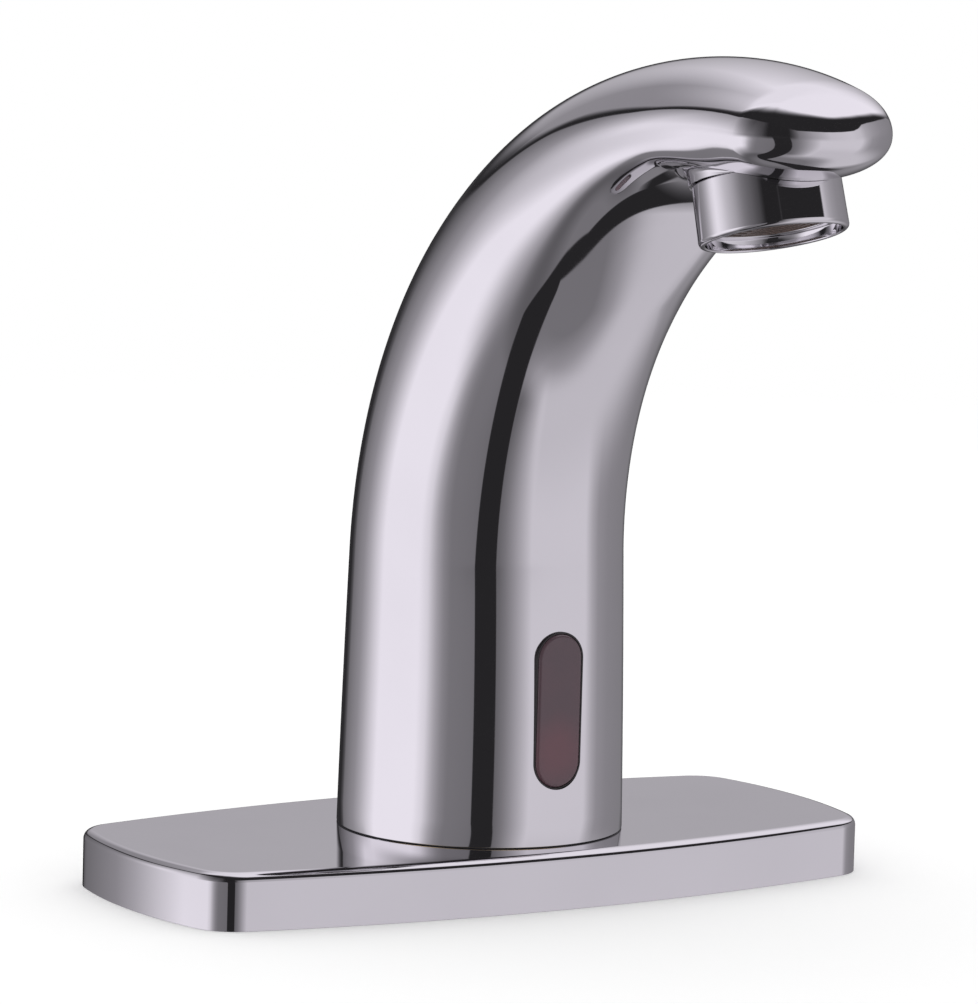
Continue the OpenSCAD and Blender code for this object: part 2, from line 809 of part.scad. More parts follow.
module aerator_washer() {
    color(black_rubber)
        at_outlet()
            ring(insert_r, cup_r + 0.1, neck_low_m - washer_t, neck_low_m);
}

screen_t = 0.4;
screen_pitch = 2;

// A woven screen, drawn as a disc with a grid of square holes
module aerator_screen() {
    color(steel)
        at_outlet(cup_top_m)
            difference() {
                bar(cup_r, 0, screen_t);
                for (i = [-3 : 3])
                    for (j = [-3 : 3])
                        if (norm([i, j]) * screen_pitch < cup_r - 1.6)
                            translate([i * screen_pitch - 0.6, j * screen_pitch - 0.6, -1])
                                cube([1.2, 1.2, screen_t + 2]);
            }
}

regulator_h = 1.4;
regulator_holes = 6;
module flow_regulator() {
    color([0.35, 0.55, 0.62])
        at_outlet(cup_top_m + screen_t)
            difference() {
                bar(cup_r - 0.4, 0, regulator_h);
                for (k = [0 : regulator_holes - 1])
                    rotate(360 * k / regulator_holes)
                        translate([4.6, 0, -1])
                            cylinder(r = 1.1, h = regulator_h + 2);
            }
}

module sensor_window() {
    color([0.30, 0.20, 0.22])
        union() {
            pill(window_w - 2 * seal_t, window_l - 2 * seal_t, lens_front_y, case_front_y);
            pill(window_w + 2 * lens_flange, window_l + 2 * lens_flange,
                 case_front_y - lens_flange_t, case_front_y);
        }
}

module window_seal() {
    color(black_rubber)
        difference() {
            pill(window_w, window_l, lens_front_y + 0.6, case_front_y - lens_flange_t);
            pill(window_w - 2 * seal_t, window_l - 2 * seal_t, lens_front_y, case_front_y);
        }
}

// The sensor's case: open in front, with posts for the board
module sensor_case() {
    inner_back_y = case_back_y - case_wall;
    color(black_plastic)
        difference() {
            union() {
                difference() {
                    translate([-case_half_w, case_front_y, case_low_z])
                        cube([2 * case_half_w, case_depth, case_top_z - case_low_z]);
                    translate([-case_half_w + case_wall, case_front_y - 1, case_low_z + case_wall])
                        cube([2 * (case_half_w - case_wall), case_depth - case_wall + 1,
                              case_top_z - case_low_z - 2 * case_wall]);
                }
                for (side = [-1, 1])
                    for (z = [window_z - 4, board_top_z - 3])
                        translate([side * (board_half_w - 1.4), inner_back_y + eps, z])
                            rotate([90, 0, 0])
                                cylinder(r = 1.2, h = inner_back_y - board_y - board_t + eps);
            }
            translate([0, cable_y, 0])
                bar(lead_r + fit_gap, case_low_z - 1, case_low_z + case_wall + 1);
        }
}

module sensor_board() {
    color([0.10, 0.36, 0.22])
        translate([-board_half_w, board_y, board_low_z])
            cube([2 * board_half_w, board_t, board_top_z - board_low_z]);
}

// A round diode with a domed front, standing on the board
diode_l = 2.2;
module diode(z) {
    translate([0, board_y, z])
        rotate([90, 0, 0]) {
            bar(diode_r, 0, diode_l);
            intersection() {
                translate([0, 0, diode_l])
                    sphere(r = diode_r);
                bar(diode_r, diode_l - 0.5, diode_l + diode_r);
            }
        }
}

module ir_emitter() {
    color([0.55, 0.60, 0.75])
        diode(window_z + diode_pitch / 2);
}

module ir_receiver() {
    color([0.12, 0.10, 0.14])
        diode(window_z - diode_pitch / 2);
}

module indicator_led() {
    color([0.80, 0.20, 0.15])
        translate([-1, board_y - 0.8, window_z + window_l / 2 - 3.4])
            cube([2, 0.8, 1.2]);
}

// The wall that keeps the emitter's light off the receiver
module light_baffle() {
    color(black_plastic)
        translate([-board_half_w, case_front_y, window_z - 0.6])
            cube([2 * board_half_w, board_y - case_front_y, 1.2]);
}

connector_h = 5;
connector_z = board_low_z + 1.5;
module board_connector() {
    color([0.85, 0.84, 0.78])
        translate([-3.2, board_y + board_t, connector_z])
            cube([6.4, case_back_y - case_wall - board_y - board_t, connector_h]);
}

// The bracket: a strap behind the case, hooked over its top, with a foot on the base
strap_half_w = 7;
foot_half_w = 12;
hook_l = 4;
module sensor_bracket() {
    color(steel)
        difference() {
            union() {
                translate([-strap_half_w, case_back_y, base_top_z])
                    cube([2 * strap_half_w, bracket_t, case_top_z + bracket_t - base_top_z]);
                translate([-strap_half_w, case_back_y - hook_l, case_top_z])
                    cube([2 * strap_half_w, hook_l + eps, bracket_t]);
                translate([-foot_half_w, case_back_y, base_top_z])
                    cube([2 * foot_half_w, bracket_foot_l, bracket_t]);
            }
            for (side = [-1, 1])
                translate([side * bracket_screw_x, bracket_screw_y, 0])
                    bar(bracket_screw_r + fit_gap, base_top_z - 1, base_top_z + bracket_t + 1);
        }
}

module bracket_screws() {
    color(steel)
        for (side = [-1, 1])
            translate([side * bracket_screw_x, bracket_screw_y, base_top_z + bracket_t])
                mirror([0, 0, 1])
                    screw(bracket_screw_r - thread_depth - screw_gap,
                          bracket_t + bracket_screw_l - 0.5, bracket_screw_r * 1.8,
                          bracket_head_h, bracket_screw_flats);
}

// The lead runs straight from the board's connector down through the grommet
module sensor_lead() {
    color([0.14, 0.14, 0.15])
        translate([0, cable_y, 0])
            bar(lead_r, 0, connector_z);
}

module cable_grommet() {
    color(black_rubber)
        translate([0, cable_y, 0])
            ring(grommet_r, lead_r + fit_gap, 0.5, grommet_h + 0.5);
}

spout_body();
trim_plate();
plate_pad();
base_gasket();
mounting_base();
base_screws();
locating_pins();
inlet_fitting();
inlet_o_ring();
inlet_lock_nut();
waterway_tube();
outlet_elbow();
outlet_nipple();
outlet_o_ring();
aerator_housing();
aerator_washer();
aerator_insert();
aerator_screen();
flow_regulator();
sensor_window();
window_seal();
sensor_case();
sensor_board();
ir_emitter();
ir_receiver();
indicator_led();
light_baffle();
board_connector();
sensor_bracket();
bracket_screws();
sensor_lead();
cable_grommet();
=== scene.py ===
import json
import math
import bmesh
import bpy
from mathutils import Matrix, Vector
from mathutils.bvhtree import BVHTree


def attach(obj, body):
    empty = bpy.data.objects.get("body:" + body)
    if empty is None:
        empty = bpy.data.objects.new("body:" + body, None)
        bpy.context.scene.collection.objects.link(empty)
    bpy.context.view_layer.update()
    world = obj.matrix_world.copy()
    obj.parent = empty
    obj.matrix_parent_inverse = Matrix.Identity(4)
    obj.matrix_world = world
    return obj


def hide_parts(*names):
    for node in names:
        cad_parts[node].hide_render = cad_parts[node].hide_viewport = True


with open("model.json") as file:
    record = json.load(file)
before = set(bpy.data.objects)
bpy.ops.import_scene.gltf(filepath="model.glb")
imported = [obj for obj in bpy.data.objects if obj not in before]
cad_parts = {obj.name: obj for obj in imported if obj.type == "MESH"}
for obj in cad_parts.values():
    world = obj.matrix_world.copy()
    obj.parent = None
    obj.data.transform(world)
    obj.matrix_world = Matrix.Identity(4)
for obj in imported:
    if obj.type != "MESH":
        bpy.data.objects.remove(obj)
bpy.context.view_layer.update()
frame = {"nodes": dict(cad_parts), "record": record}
bpy.ops.object.select_all(action="DESELECT")
scene = bpy.context.scene
mm = 0.001
# vertices nearer than this to a plane, in metres, lie on it
tolerance = 1e-6


# small helpers: modelling

def workOn(obj):
    if bpy.context.mode != "OBJECT":
        bpy.ops.object.mode_set(mode="OBJECT")
    bpy.ops.object.select_all(action="DESELECT")
    obj.select_set(True)
    bpy.context.view_layer.objects.active = obj


def openMesh(obj, selectMode="FACE"):
    workOn(obj)
    bpy.ops.object.mode_set(mode="EDIT")
    bpy.ops.mesh.select_mode(type=selectMode)


def closeMesh():
    bpy.ops.object.mode_set(mode="OBJECT")


def pick(obj, kind, test):
    mesh = bmesh.from_edit_mesh(obj.data)
    mesh.normal_update()
    for part in (mesh.faces, mesh.edges, mesh.verts):
        for item in part:
            item.select = False
    for item in getattr(mesh, kind):
        if test(item):
            item.select_set(True)
    mesh.select_flush_mode()
    bmesh.update_edit_mesh(obj.data)


def meshFrom(name, points, faces=(), edges=()):
    mesh = bpy.data.meshes.new(name)
    mesh.from_pydata([[c * mm for c in p] for p in points], list(edges), list(faces))
    mesh.update()
    obj = bpy.data.objects.new(name, mesh)
    scene.collection.objects.link(obj)
    return obj


def cutAway(obj, tool):
    workOn(obj)
    cut = obj.modifiers.new("cut", "BOOLEAN")
    cut.operation = "DIFFERENCE"
    cut.solver = "EXACT"
    cut.object = tool
    bpy.ops.object.modifier_apply(modifier=cut.name)
    bpy.data.objects.remove(tool)


def smooth(obj, degrees, weighted=False):
    workOn(obj)
    bpy.ops.object.shade_smooth_by_angle(angle=math.radians(degrees))
    if weighted:
        even = obj.modifiers.new("even", "WEIGHTED_NORMAL")
        even.weight = 100
        even.keep_sharp = True
        bpy.ops.object.modifier_apply(modifier=even.name)


def tidyNormals(obj, gap=0.002):
    openMesh(obj)
    bpy.ops.mesh.select_all(action="SELECT")
    bpy.ops.mesh.remove_doubles(threshold=gap * mm)
    bpy.ops.mesh.normals_make_consistent(inside=False)
    closeMesh()


def thicken(obj, shift):
    openMesh(obj)
    bpy.ops.mesh.select_all(action="SELECT")
    bpy.ops.mesh.extrude_region_move(TRANSFORM_OT_translate={"value": [c * mm for c in shift]})
    closeMesh()
    tidyNormals(obj)


def joinAll(pieces):
    bpy.ops.object.select_all(action="DESELECT")
    for piece in pieces:
        piece.select_set(True)
    bpy.context.view_layer.objects.active = pieces[0]
    bpy.ops.object.join()
    return bpy.context.active_object


def arcPoints(cx, cy, radius, start, stop, steps):
    turns = [math.radians(start + (stop - start) * k / steps) for k in range(steps + 1)]
    return [(cx + radius * math.cos(t), cy + radius * math.sin(t)) for t in turns]


def lathe(name, profile, steps=128):
    # the profile is (radius, height) and closes on itself
    points = [(r, 0, h) for r, h in profile]
    count = len(points)
    obj = meshFrom(name, points, edges=[(k, (k + 1) % count) for k in range(count)])
    openMesh(obj, "VERT")
    bpy.ops.mesh.select_all(action="SELECT")
    bpy.ops.mesh.spin(steps=steps, angle=2 * math.pi, center=(0, 0, 0), axis=(0, 0, 1))
    closeMesh()
    tidyNormals(obj)
    return obj


# small helpers: nodes

def feed(tree, socket, value):
    if isinstance(value, bpy.types.NodeSocket):
        tree.links.new(value, socket)
    else:
        socket.default_value = value


def put(tree, kind, inputs=None, **settings):
    node = tree.nodes.new(kind)
    for key, value in settings.items():
        setattr(node, key, value)
    for key, value in (inputs or {}).items():
        feed(tree, node.inputs[key], value)
    return node


def calc(tree, operation, *values):
    node = put(tree, "ShaderNodeMath", operation=operation)
    for k, value in enumerate(values):
        feed(tree, node.inputs[k], value)
    return node.outputs[0]


def spread(tree, value, low, high, out=(0.0, 1.0), kind="LINEAR"):
    node = put(tree, "ShaderNodeMapRange", interpolation_type=kind)
    for key, item in (("Value", value), ("From Min", low), ("From Max", high)):
        feed(tree, node.inputs[key], item)
    node.inputs["To Min"].default_value = out[0]
    node.inputs["To Max"].default_value = out[1]
    return node.outputs["Result"]


def softSpread(tree, value, low, high, out=(0.0, 1.0)):
    return spread(tree, value, low, high, out, "SMOOTHSTEP")


def product(tree, result, *factors):
    for factor in factors:
        result = calc(tree, "MULTIPLY", result, factor)
    return result


def blendValue(tree, factor, a, b):
    node = put(tree, "ShaderNodeMix", data_type="FLOAT")
    for k, value in ((0, factor), (2, a), (3, b)):
        feed(tree, node.inputs[k], value)
    return node.outputs[0]


def blendColour(tree, factor, a, b, kind="MIX"):
    node = put(tree, "ShaderNodeMix", data_type="RGBA", blend_type=kind)
    for k, value in ((0, factor), (6, a), (7, b)):
        feed(tree, node.inputs[k], value)
    return node.outputs[2]


def rgb(r, g, b):
    return (r, g, b, 1.0)


def rampOf(tree, factor, stops):
    node = put(tree, "ShaderNodeValToRGB", {"Fac": factor})
    ramp = node.color_ramp
    while len(ramp.elements) > 1:
        ramp.elements.remove(ramp.elements[-1])
    for k, (place, level) in enumerate(stops):
        stop = ramp.elements[0] if k == 0 else ramp.elements.new(place)
        stop.position = place
        stop.color = rgb(level, level, level)
    return node.outputs["Color"]


def newGroup(name, inputs, outputs):
    tree = bpy.data.node_groups.new(name, "ShaderNodeTree")
    for title, value in inputs.items():
        kind = "NodeSocketColor" if isinstance(value, tuple) else "NodeSocketFloat"
        socket = tree.interface.new_socket(name=title, in_out="INPUT", socket_type=kind)
        socket.default_value = value
    for title, kind in outputs.items():
        tree.interface.new_socket(name=title, in_out="OUTPUT", socket_type="NodeSocket" + kind)
    given = tree.nodes.new("NodeGroupInput").outputs
    return tree, given, tree.nodes.new("NodeGroupOutput").inputs


def objectPlace(tree):
    return put(tree, "ShaderNodeTexCoord").outputs["Object"]


def noise(tree, place, scale, detail=2.0, roughness=0.5):
    node = put(tree, "ShaderNodeTexNoise", {"Vector": place, "Scale": scale, "Detail": detail,
                                            "Roughness": roughness})
    return node.outputs["Fac"]


# camera, as the photograph was taken

camera = {
    "azimuth": -32.37,
    "elevation": 7.45,
    "roll": 1.6,
    "distance": 1.1923,
    "target": (0.00134, 0.00045, 0.07227),
    "lens": 223.74,
    "shift": (-0.0035, 0.003),
    "clip": (0.05, 20),
}


def addCamera():
    turn = math.radians(camera["azimuth"])
    rise = math.radians(camera["elevation"])
    roll = math.radians(camera["roll"])
    back = Vector((math.sin(turn) * math.cos(rise), -math.cos(turn) * math.cos(rise),
                   math.sin(rise)))
    side = Vector((0, 0, 1)).cross(back).normalized()
    up = back.cross(side)
    right = side * math.cos(roll) + up * math.sin(roll)
    top = up * math.cos(roll) - side * math.sin(roll)
    data = bpy.data.cameras.new("photoCamera")
    data.lens = camera["lens"]
    data.shift_x, data.shift_y = camera["shift"]
    data.clip_start, data.clip_end = camera["clip"]
    obj = bpy.data.objects.new("photoCamera", data)
    place = Vector(camera["target"]) + back * camera["distance"]
    turned = Matrix((right, top, back)).transposed().to_4x4()
    obj.matrix_world = Matrix.Translation(place) @ turned
    scene.collection.objects.link(obj)
    scene.camera = obj


addCamera()
scene.view_settings.view_transform = "Standard"
print("camera placed")


# studio: white walls and soft grey cards, drawn by direction, which only the metal sees
# compass tables are in degrees, 0 is the front and plus is right; a turn runs from 0 to 1 the
# same way, 0.5 is the front; a rise is degrees above the horizon; a pair is a change's two ends

def readRay(tree):
    place = put(tree, "ShaderNodeTexCoord").outputs["Generated"]
    axes = put(tree, "ShaderNodeSeparateXYZ", {"Vector": place}).outputs
    turn = calc(tree, "ARCTAN2", axes[0], calc(tree, "MULTIPLY", axes[1], -1.0))
    turn = calc(tree, "MULTIPLY_ADD", turn, 0.5 / math.pi, 0.5)
    rise = calc(tree, "MULTIPLY", calc(tree, "ARCSINE", axes[2]), 180 / math.pi)
    return {"x": axes[0], "y": axes[1], "z": axes[2], "turn": turn, "rise": rise}


def compass(tree, turn, table, scale=1.0):
    stops = [((a + 180) / 360, v * scale) for a, v in table.items()]
    return calc(tree, "DIVIDE", rampOf(tree, turn, stops), scale)


def along(tree, ray, axis):
    result = calc(tree, "MULTIPLY", ray["x"], axis[0])
    result = calc(tree, "MULTIPLY_ADD", ray["y"], axis[1], result)
    return calc(tree, "MULTIPLY_ADD", ray["z"], axis[2], result)


def band(tree, value, middle, half, edge):
    off = calc(tree, "ABSOLUTE", calc(tree, "SUBTRACT", value, middle))
    off = calc(tree, "SUBTRACT", off, half)
    return softSpread(tree, off, edge, -edge)


walls = {
    # brightness that the metal shows, below and above the horizon
    "low": {-180: 0.3, -176: 0.42, -168: 0.47, -156: 0.54, -147: 0.64, -136: 0.79, -127: 0.9,
            -88: 0.9, -80: 0.82, -72: 0.62, -66: 0.51, -60: 0.45, -42: 0.43, -22: 0.38,
            -15: 0.46, -4: 0.62, 7: 0.77, 20: 0.77, 60: 0.77, 68: 0.64, 76: 0.55, 90: 0.51,
            126: 0.47, 148: 0.2, 172: 0.17, 180: 0.3},
    "high": {-180: 0.36, -165: 0.48, -154: 0.56, -144: 0.72, -136: 0.87, -125: 0.87,
             -114: 0.79, -101: 0.69, -90: 0.6, -79: 0.49, -66: 0.4, -54: 0.29, -46: 0.155,
             -24: 0.155, -14: 0.45, 0: 0.6, 18: 0.73, 45: 0.76, 58: 0.73, 66: 0.64, 76: 0.58,
             90: 0.53, 122: 0.48, 132: 0.28, 165: 0.22, 180: 0.36},
    "horizon": (-5, 7),
    "lean": 0.035,
    "leanRise": (-60, -8),
    "leanTurn": (0.44, 0.36),
    "floorRise": (-14, -44),
    "table": 0.73,
    "tableLeft": (0.5, 0.53),
    "tableRight": (0.885, 0.845),
    "behind": 0.47,
    "behindSlopes": (-0.45, 1.2),
    "behindEdge": (-0.02, 0.1),
    "under": 0.44,
    "underRise": (-57, -76),
    "cornerAxis": (-0.116, 0.212, 0.97),
    "cornerFade": (-0.34, -0.82),
    "cornerLeft": (0.1, 0.4),
    "below": (0.28, 0.7),
    "belowSlope": -1.2,
    "belowEdge": (-0.2, 0.4),
    "belowRise": (-52, -68),
    "dim": 0.64,
    "dimTurn": (0.38, 0.3),
    "dimRise": (10, 42),
}


def wallLevel(tree, ray):
    w = walls
    x, y, turn, rise = ray["x"], ray["y"], ray["turn"], ray["rise"]
    # the left wall leans a little, so its edge moves with height
    lean = product(tree, spread(tree, rise, *w["leanRise"], (w["lean"], 0.0)),
                   spread(tree, turn, *w["leanTurn"]))
    low = compass(tree, calc(tree, "ADD", turn, lean), w["low"])
    high = compass(tree, turn, w["high"])
    # a pale table in front at the right
    down = softSpread(tree, rise, *w["floorRise"])
    table = product(tree, down, spread(tree, turn, *w["tableLeft"]),
                    spread(tree, turn, *w["tableRight"]))
    low = blendValue(tree, table, low, w["table"])
    # something grey stands behind at the right
    sides = [calc(tree, "MULTIPLY_ADD", x, slope, y) for slope in w["behindSlopes"]]
    behind = product(tree, spread(tree, calc(tree, "MINIMUM", *sides), *w["behindEdge"]), down)
    low = blendValue(tree, behind, low, w["behind"])
    # a darker patch at the left, and the ground underneath, darkest at the back left
    corner = softSpread(tree, along(tree, ray, w["cornerAxis"]), *w["cornerFade"])
    left = spread(tree, calc(tree, "SUBTRACT", y, x), *w["cornerLeft"])
    low = blendValue(tree, product(tree, corner, left), low, w["under"])
    below = calc(tree, "MULTIPLY_ADD", y, w["belowSlope"], x)
    below = spread(tree, below, *w["belowEdge"], w["below"])
    below = blendValue(tree, spread(tree, rise, *w["underRise"]), below, w["under"])
    low = blendValue(tree, softSpread(tree, rise, *w["belowRise"]), low, below)
    # the left wall gets darker towards the card
    dim = spread(tree, rise, *w["dimRise"], (1, w["dim"]))
    dim = blendValue(tree, spread(tree, turn, *w["dimTurn"]), 1.0, dim)
    high = calc(tree, "MULTIPLY", high, dim)
    return blendValue(tree, softSpread(tree, rise, *w["horizon"]), low, high)


# a black flag: it hangs at the front left, laps underneath and ends in a leg at the back right

flag = {
    "across": (0.996, -0.069, 0.154),
    "place": -0.4617,
    "half": 0.136,
    "widening": 0.023,
    "edge": 0.006,
    "top": (8, 2),
    "lapPlace": 0.042,
    "lapHalf": 0.05,
    "lapWidening": 0.135,
    "lapBow": (0.95, 0.2),
    "lapHook": -2.8,
    "lapHookStart": -0.2,
    "lapLeft": (-0.44, -0.38),
    "lapRise": (-40, -50),
    "pastLap": (0.06, 0.04),
    "legAcross": (0.695, -0.719, 0.4526),
    "legPlace": -0.372,
    "legHalf": 0.033,
    "legLeft": (0.38, 0.44),
    "legRise": (-30, -42),
    "foldEdge": 0.008,
}


def flagMask(tree, ray):
    f = flag
    x, rise = ray["x"], ray["rise"]
    rightward = calc(tree, "MAXIMUM", x, 0.0)
    leftward = calc(tree, "MAXIMUM", calc(tree, "SUBTRACT", f["lapHookStart"], x), 0.0)
    bow = calc(tree, "MULTIPLY", rightward, calc(tree, "MULTIPLY_ADD", rightward, *f["lapBow"]))
    bow = calc(tree, "MULTIPLY_ADD", calc(tree, "POWER", leftward, 2.0), f["lapHook"], bow)
    past = calc(tree, "SUBTRACT", ray["y"], bow)
    half = calc(tree, "MULTIPLY_ADD", ray["z"], f["widening"], f["half"])
    hanging = band(tree, along(tree, ray, f["across"]), f["place"], half, f["edge"])
    ends = [f["lapPlace"] + distance for distance in f["pastLap"]]
    hanging = product(tree, hanging, spread(tree, past, *ends))
    half = calc(tree, "MULTIPLY_ADD", rightward, f["lapWidening"], f["lapHalf"])
    lap = band(tree, past, f["lapPlace"], half, f["foldEdge"])
    lap = product(tree, lap, spread(tree, rise, *f["lapRise"]), spread(tree, x, *f["lapLeft"]))
    leg = along(tree, ray, f["legAcross"])
    leg = band(tree, leg, f["legPlace"], f["legHalf"], f["foldEdge"])
    leg = product(tree, leg, spread(tree, x, *f["legLeft"]), spread(tree, rise, *f["legRise"]))
    dark = calc(tree, "MAXIMUM", hanging, calc(tree, "MAXIMUM", lap, leg))
    return product(tree, dark, spread(tree, rise, *f["top"]))


# a white ceiling, and a dark card that stands round it

ceiling = {
    "level": 0.9,
    "back": (0.62, 0.88),
    "backRise": (8, 46),
    "backTurn": (0.79, 0.85),
    "left": (0.53, 0.88),
    "leftRise": (32, 68),
    "leftTurns": ((0.93, 0.99), (0.14, 0.1)),
}
card = {
    # rise where it starts and where it ends
    "low": {-180: 9.4, -174: 12.8, -168: 17.2, -150: 24, -140: 36, -135: 40, -115: 46, -95: 48,
            -75: 47, -45: 41, -15: 24, 15: 22, 50: 20, 58: 22, 66: 26, 75: 25, 95: 19,
            115: 11, 125: 5, 135: 2, 160: 4, 170: 6.2, 180: 9.4},
    "high": {-180: 10.6, -174: 14.2, -168: 19, -150: 27, -140: 41, -135: 45, -125: 53,
             -115: 59, -95: 64, -45: 65, -5: 57, 15: 52, 35: 45, 55: 40, 75: 33, 95: 23,
             115: 9, 125: 3, 135: 2, 160: 4, 170: 6.8, 180: 10.6},
    "tableScale": 1 / 90,
    "lowEdge": (-1.2, 0.6),
    "highEdge": (-0.1, 1),
    "fade": (18, 7),
    "fadeTurn": (0.45, 0.62),
    "backFade": (0.3, 1),
    "backFadeTurn": (0.08, 0.12),
}
studio = {"black": 0.16, "gamma": 2.2, "metalShare": 0.8, "tint": (1.0, 0.965, 1.03)}


def ceilingLevel(tree, ray):
    v = ceiling
    turn, rise = ray["turn"], ray["rise"]
    back = spread(tree, rise, *v["backRise"], v["back"])
    level = blendValue(tree, spread(tree, turn, *v["backTurn"]), v["level"], back)
    left = softSpread(tree, rise, *v["leftRise"], v["left"])
    side = calc(tree, "MAXIMUM", *[spread(tree, turn, *ends) for ends in v["leftTurns"]])
    return blendValue(tree, side, level, left)


def hangCard(tree, ray, level):
    v = card
    turn, rise = ray["turn"], ray["rise"]
    start = compass(tree, turn, v["low"], v["tableScale"])
    stop = compass(tree, turn, v["high"], v["tableScale"])
    fade = product(tree, spread(tree, turn, *v["fadeTurn"], v["fade"]),
                   spread(tree, turn, *v["backFadeTurn"], v["backFade"]))
    above = calc(tree, "SUBTRACT", rise, start)
    level = blendValue(tree, softSpread(tree, above, *v["lowEdge"]), level, studio["black"])
    over = calc(tree, "DIVIDE", calc(tree, "SUBTRACT", rise, stop), fade)
    over = softSpread(tree, over, *v["highEdge"])
    return blendValue(tree, over, level, ceilingLevel(tree, ray))


def makeStudio():
    s = studio
    world = bpy.data.worlds.new("studio")
    scene.world = world
    world.use_nodes = True
    tree = world.node_tree
    tree.nodes.clear()
    ray = readRay(tree)
    level = blendValue(tree, flagMask(tree, ray), wallLevel(tree, ray), s["black"])
    level = hangCard(tree, ray, level)
    light = calc(tree, "DIVIDE", calc(tree, "POWER", level, s["gamma"]), s["metalShare"])
    seen = blendColour(tree, 1.0, light, rgb(*s["tint"]), "MULTIPLY")
    # all other rays, the camera's too, see plain white
    path = put(tree, "ShaderNodeLightPath").outputs
    shiny = calc(tree, "MAXIMUM", path["Is Glossy Ray"], path["Is Transmission Ray"])
    colour = blendColour(tree, shiny, rgb(1, 1, 1), seen)
    back = put(tree, "ShaderNodeBackground", {"Color": colour, "Strength": 1.0})
    out = put(tree, "ShaderNodeOutputWorld")
    tree.links.new(back.outputs[0], out.inputs["Surface"])


makeStudio()

floorValues = {"size": 6.0, "drop": 0.0001, "white": 0.97, "lift": 0.1, "grain": 900.0,
               "grainHeight": 0.00002, "fadeFrom": 0.35, "fadeTo": 0.9}


def makeFloor():
    v = floorValues
    bpy.ops.mesh.primitive_plane_add(size=v["size"], location=(0, 0, -v["drop"]))
    floor = bpy.context.active_object
    floor.name = "studioFloor"
    floor.visible_glossy = False
    material = bpy.data.materials.new("floorPaper")
    material.use_nodes = True
    tree = material.node_tree
    tree.nodes.clear()
    place = objectPlace(tree)
    away = put(tree, "ShaderNodeVectorMath", {0: place}, operation="LENGTH").outputs["Value"]
    bump = put(tree, "ShaderNodeBump", {"Height": noise(tree, place, v["grain"]),
                                        "Distance": v["grainHeight"]})
    paper = put(tree, "ShaderNodeBsdfDiffuse", {"Color": rgb(v["white"], v["white"], v["white"]),
                                                "Normal": bump.outputs[0]})
    # seen straight on, the paper is as white as the background
    seen = put(tree, "ShaderNodeLightPath").outputs["Is Camera Ray"]
    lift = put(tree, "ShaderNodeEmission", {"Strength": calc(tree, "MULTIPLY", seen, v["lift"])})
    paper = put(tree, "ShaderNodeAddShader", {0: paper.outputs[0], 1: lift.outputs[0]})
    clear = put(tree, "ShaderNodeBsdfTransparent")
    mix = put(tree, "ShaderNodeMixShader",
              {0: softSpread(tree, away, v["fadeFrom"], v["fadeTo"]),
               1: paper.outputs[0], 2: clear.outputs[0]})
    out = put(tree, "ShaderNodeOutputMaterial")
    tree.links.new(mix.outputs[0], out.inputs["Surface"])
    floor.data.materials.append(material)


makeFloor()
print("studio and floor made")


# effects that several finishes share

def makePolish():
    # fine wiping marks and faint water haze on polished metal
    inputs = {"Size": 60.0, "Smooth": 0.03, "Haze": 0.03, "Marks": 0.3}
    tree, given, result = newGroup("polishMarks", inputs, {"Roughness": "Float",
                                                           "Height": "Float"})
    place = objectPlace(tree)
    haze = softSpread(tree, noise(tree, place, given["Size"], 4.0, 0.6), 0.42, 0.72)
    stretched = put(tree, "ShaderNodeMapping", {"Vector": place, "Scale": (1.0, 1.0, 9.0)})
    lines = spread(tree, noise(tree, stretched.outputs[0], 700.0), 0.56, 0.7)
    rough = calc(tree, "MULTIPLY_ADD", haze, given["Haze"], given["Smooth"])
    tree.links.new(calc(tree, "MULTIPLY_ADD", lines, 0.012, rough), result["Roughness"])
    tree.links.new(calc(tree, "MULTIPLY", lines, given["Marks"]), result["Height"])
    return tree


def makeGrain():
    # even grain of cast, moulded and rubber surfaces
    inputs = {"Size": 900.0, "Patch": 60.0, "Light": rgb(0.5, 0.5, 0.5),
              "Dark": rgb(0.4, 0.4, 0.4), "Rough": 0.5, "Change": 0.15}
    tree, given, result = newGroup("surfaceGrain", inputs, {
        "Color": "Color", "Roughness": "Float", "Height": "Float"})
    place = objectPlace(tree)
    fine = noise(tree, place, given["Size"], 3.0)
    patch = noise(tree, place, given["Patch"], 5.0, 0.6)
    share = spread(tree, calc(tree, "MULTIPLY_ADD", fine, 0.4, patch), 0.5, 0.95)
    tree.links.new(blendColour(tree, share, given["Light"], given["Dark"]), result["Color"])
    rough = calc(tree, "MULTIPLY_ADD", calc(tree, "SUBTRACT", patch, 0.5), given["Change"],
                 given["Rough"])
    tree.links.new(rough, result["Roughness"])
    tree.links.new(fine, result["Height"])
    return tree


def makeBrush():
    # lines left by a die or a brush, along one direction
    inputs = {"Lines": 400.0, "Along": 0.04}
    tree, given, result = newGroup("brushLines", inputs, {"Mask": "Float"})
    parts = put(tree, "ShaderNodeSeparateXYZ", {"Vector": objectPlace(tree)}).outputs
    shrunk = calc(tree, "MULTIPLY", parts[2], given["Along"])
    joined = put(tree, "ShaderNodeCombineXYZ", {"X": parts[0], "Y": parts[1], "Z": shrunk})
    lines = noise(tree, joined.outputs[0], given["Lines"], 3.0)
    tree.links.new(spread(tree, lines, 0.35, 0.65), result["Mask"])
    return tree


polishGroup = makePolish()
grainGroup = makeGrain()
brushGroup = makeBrush()


def groupNode(tree, group, **values):
    node = put(tree, "ShaderNodeGroup", node_tree=group)
    for key, value in values.items():
        node.inputs[key].default_value = value
    return node.outputs


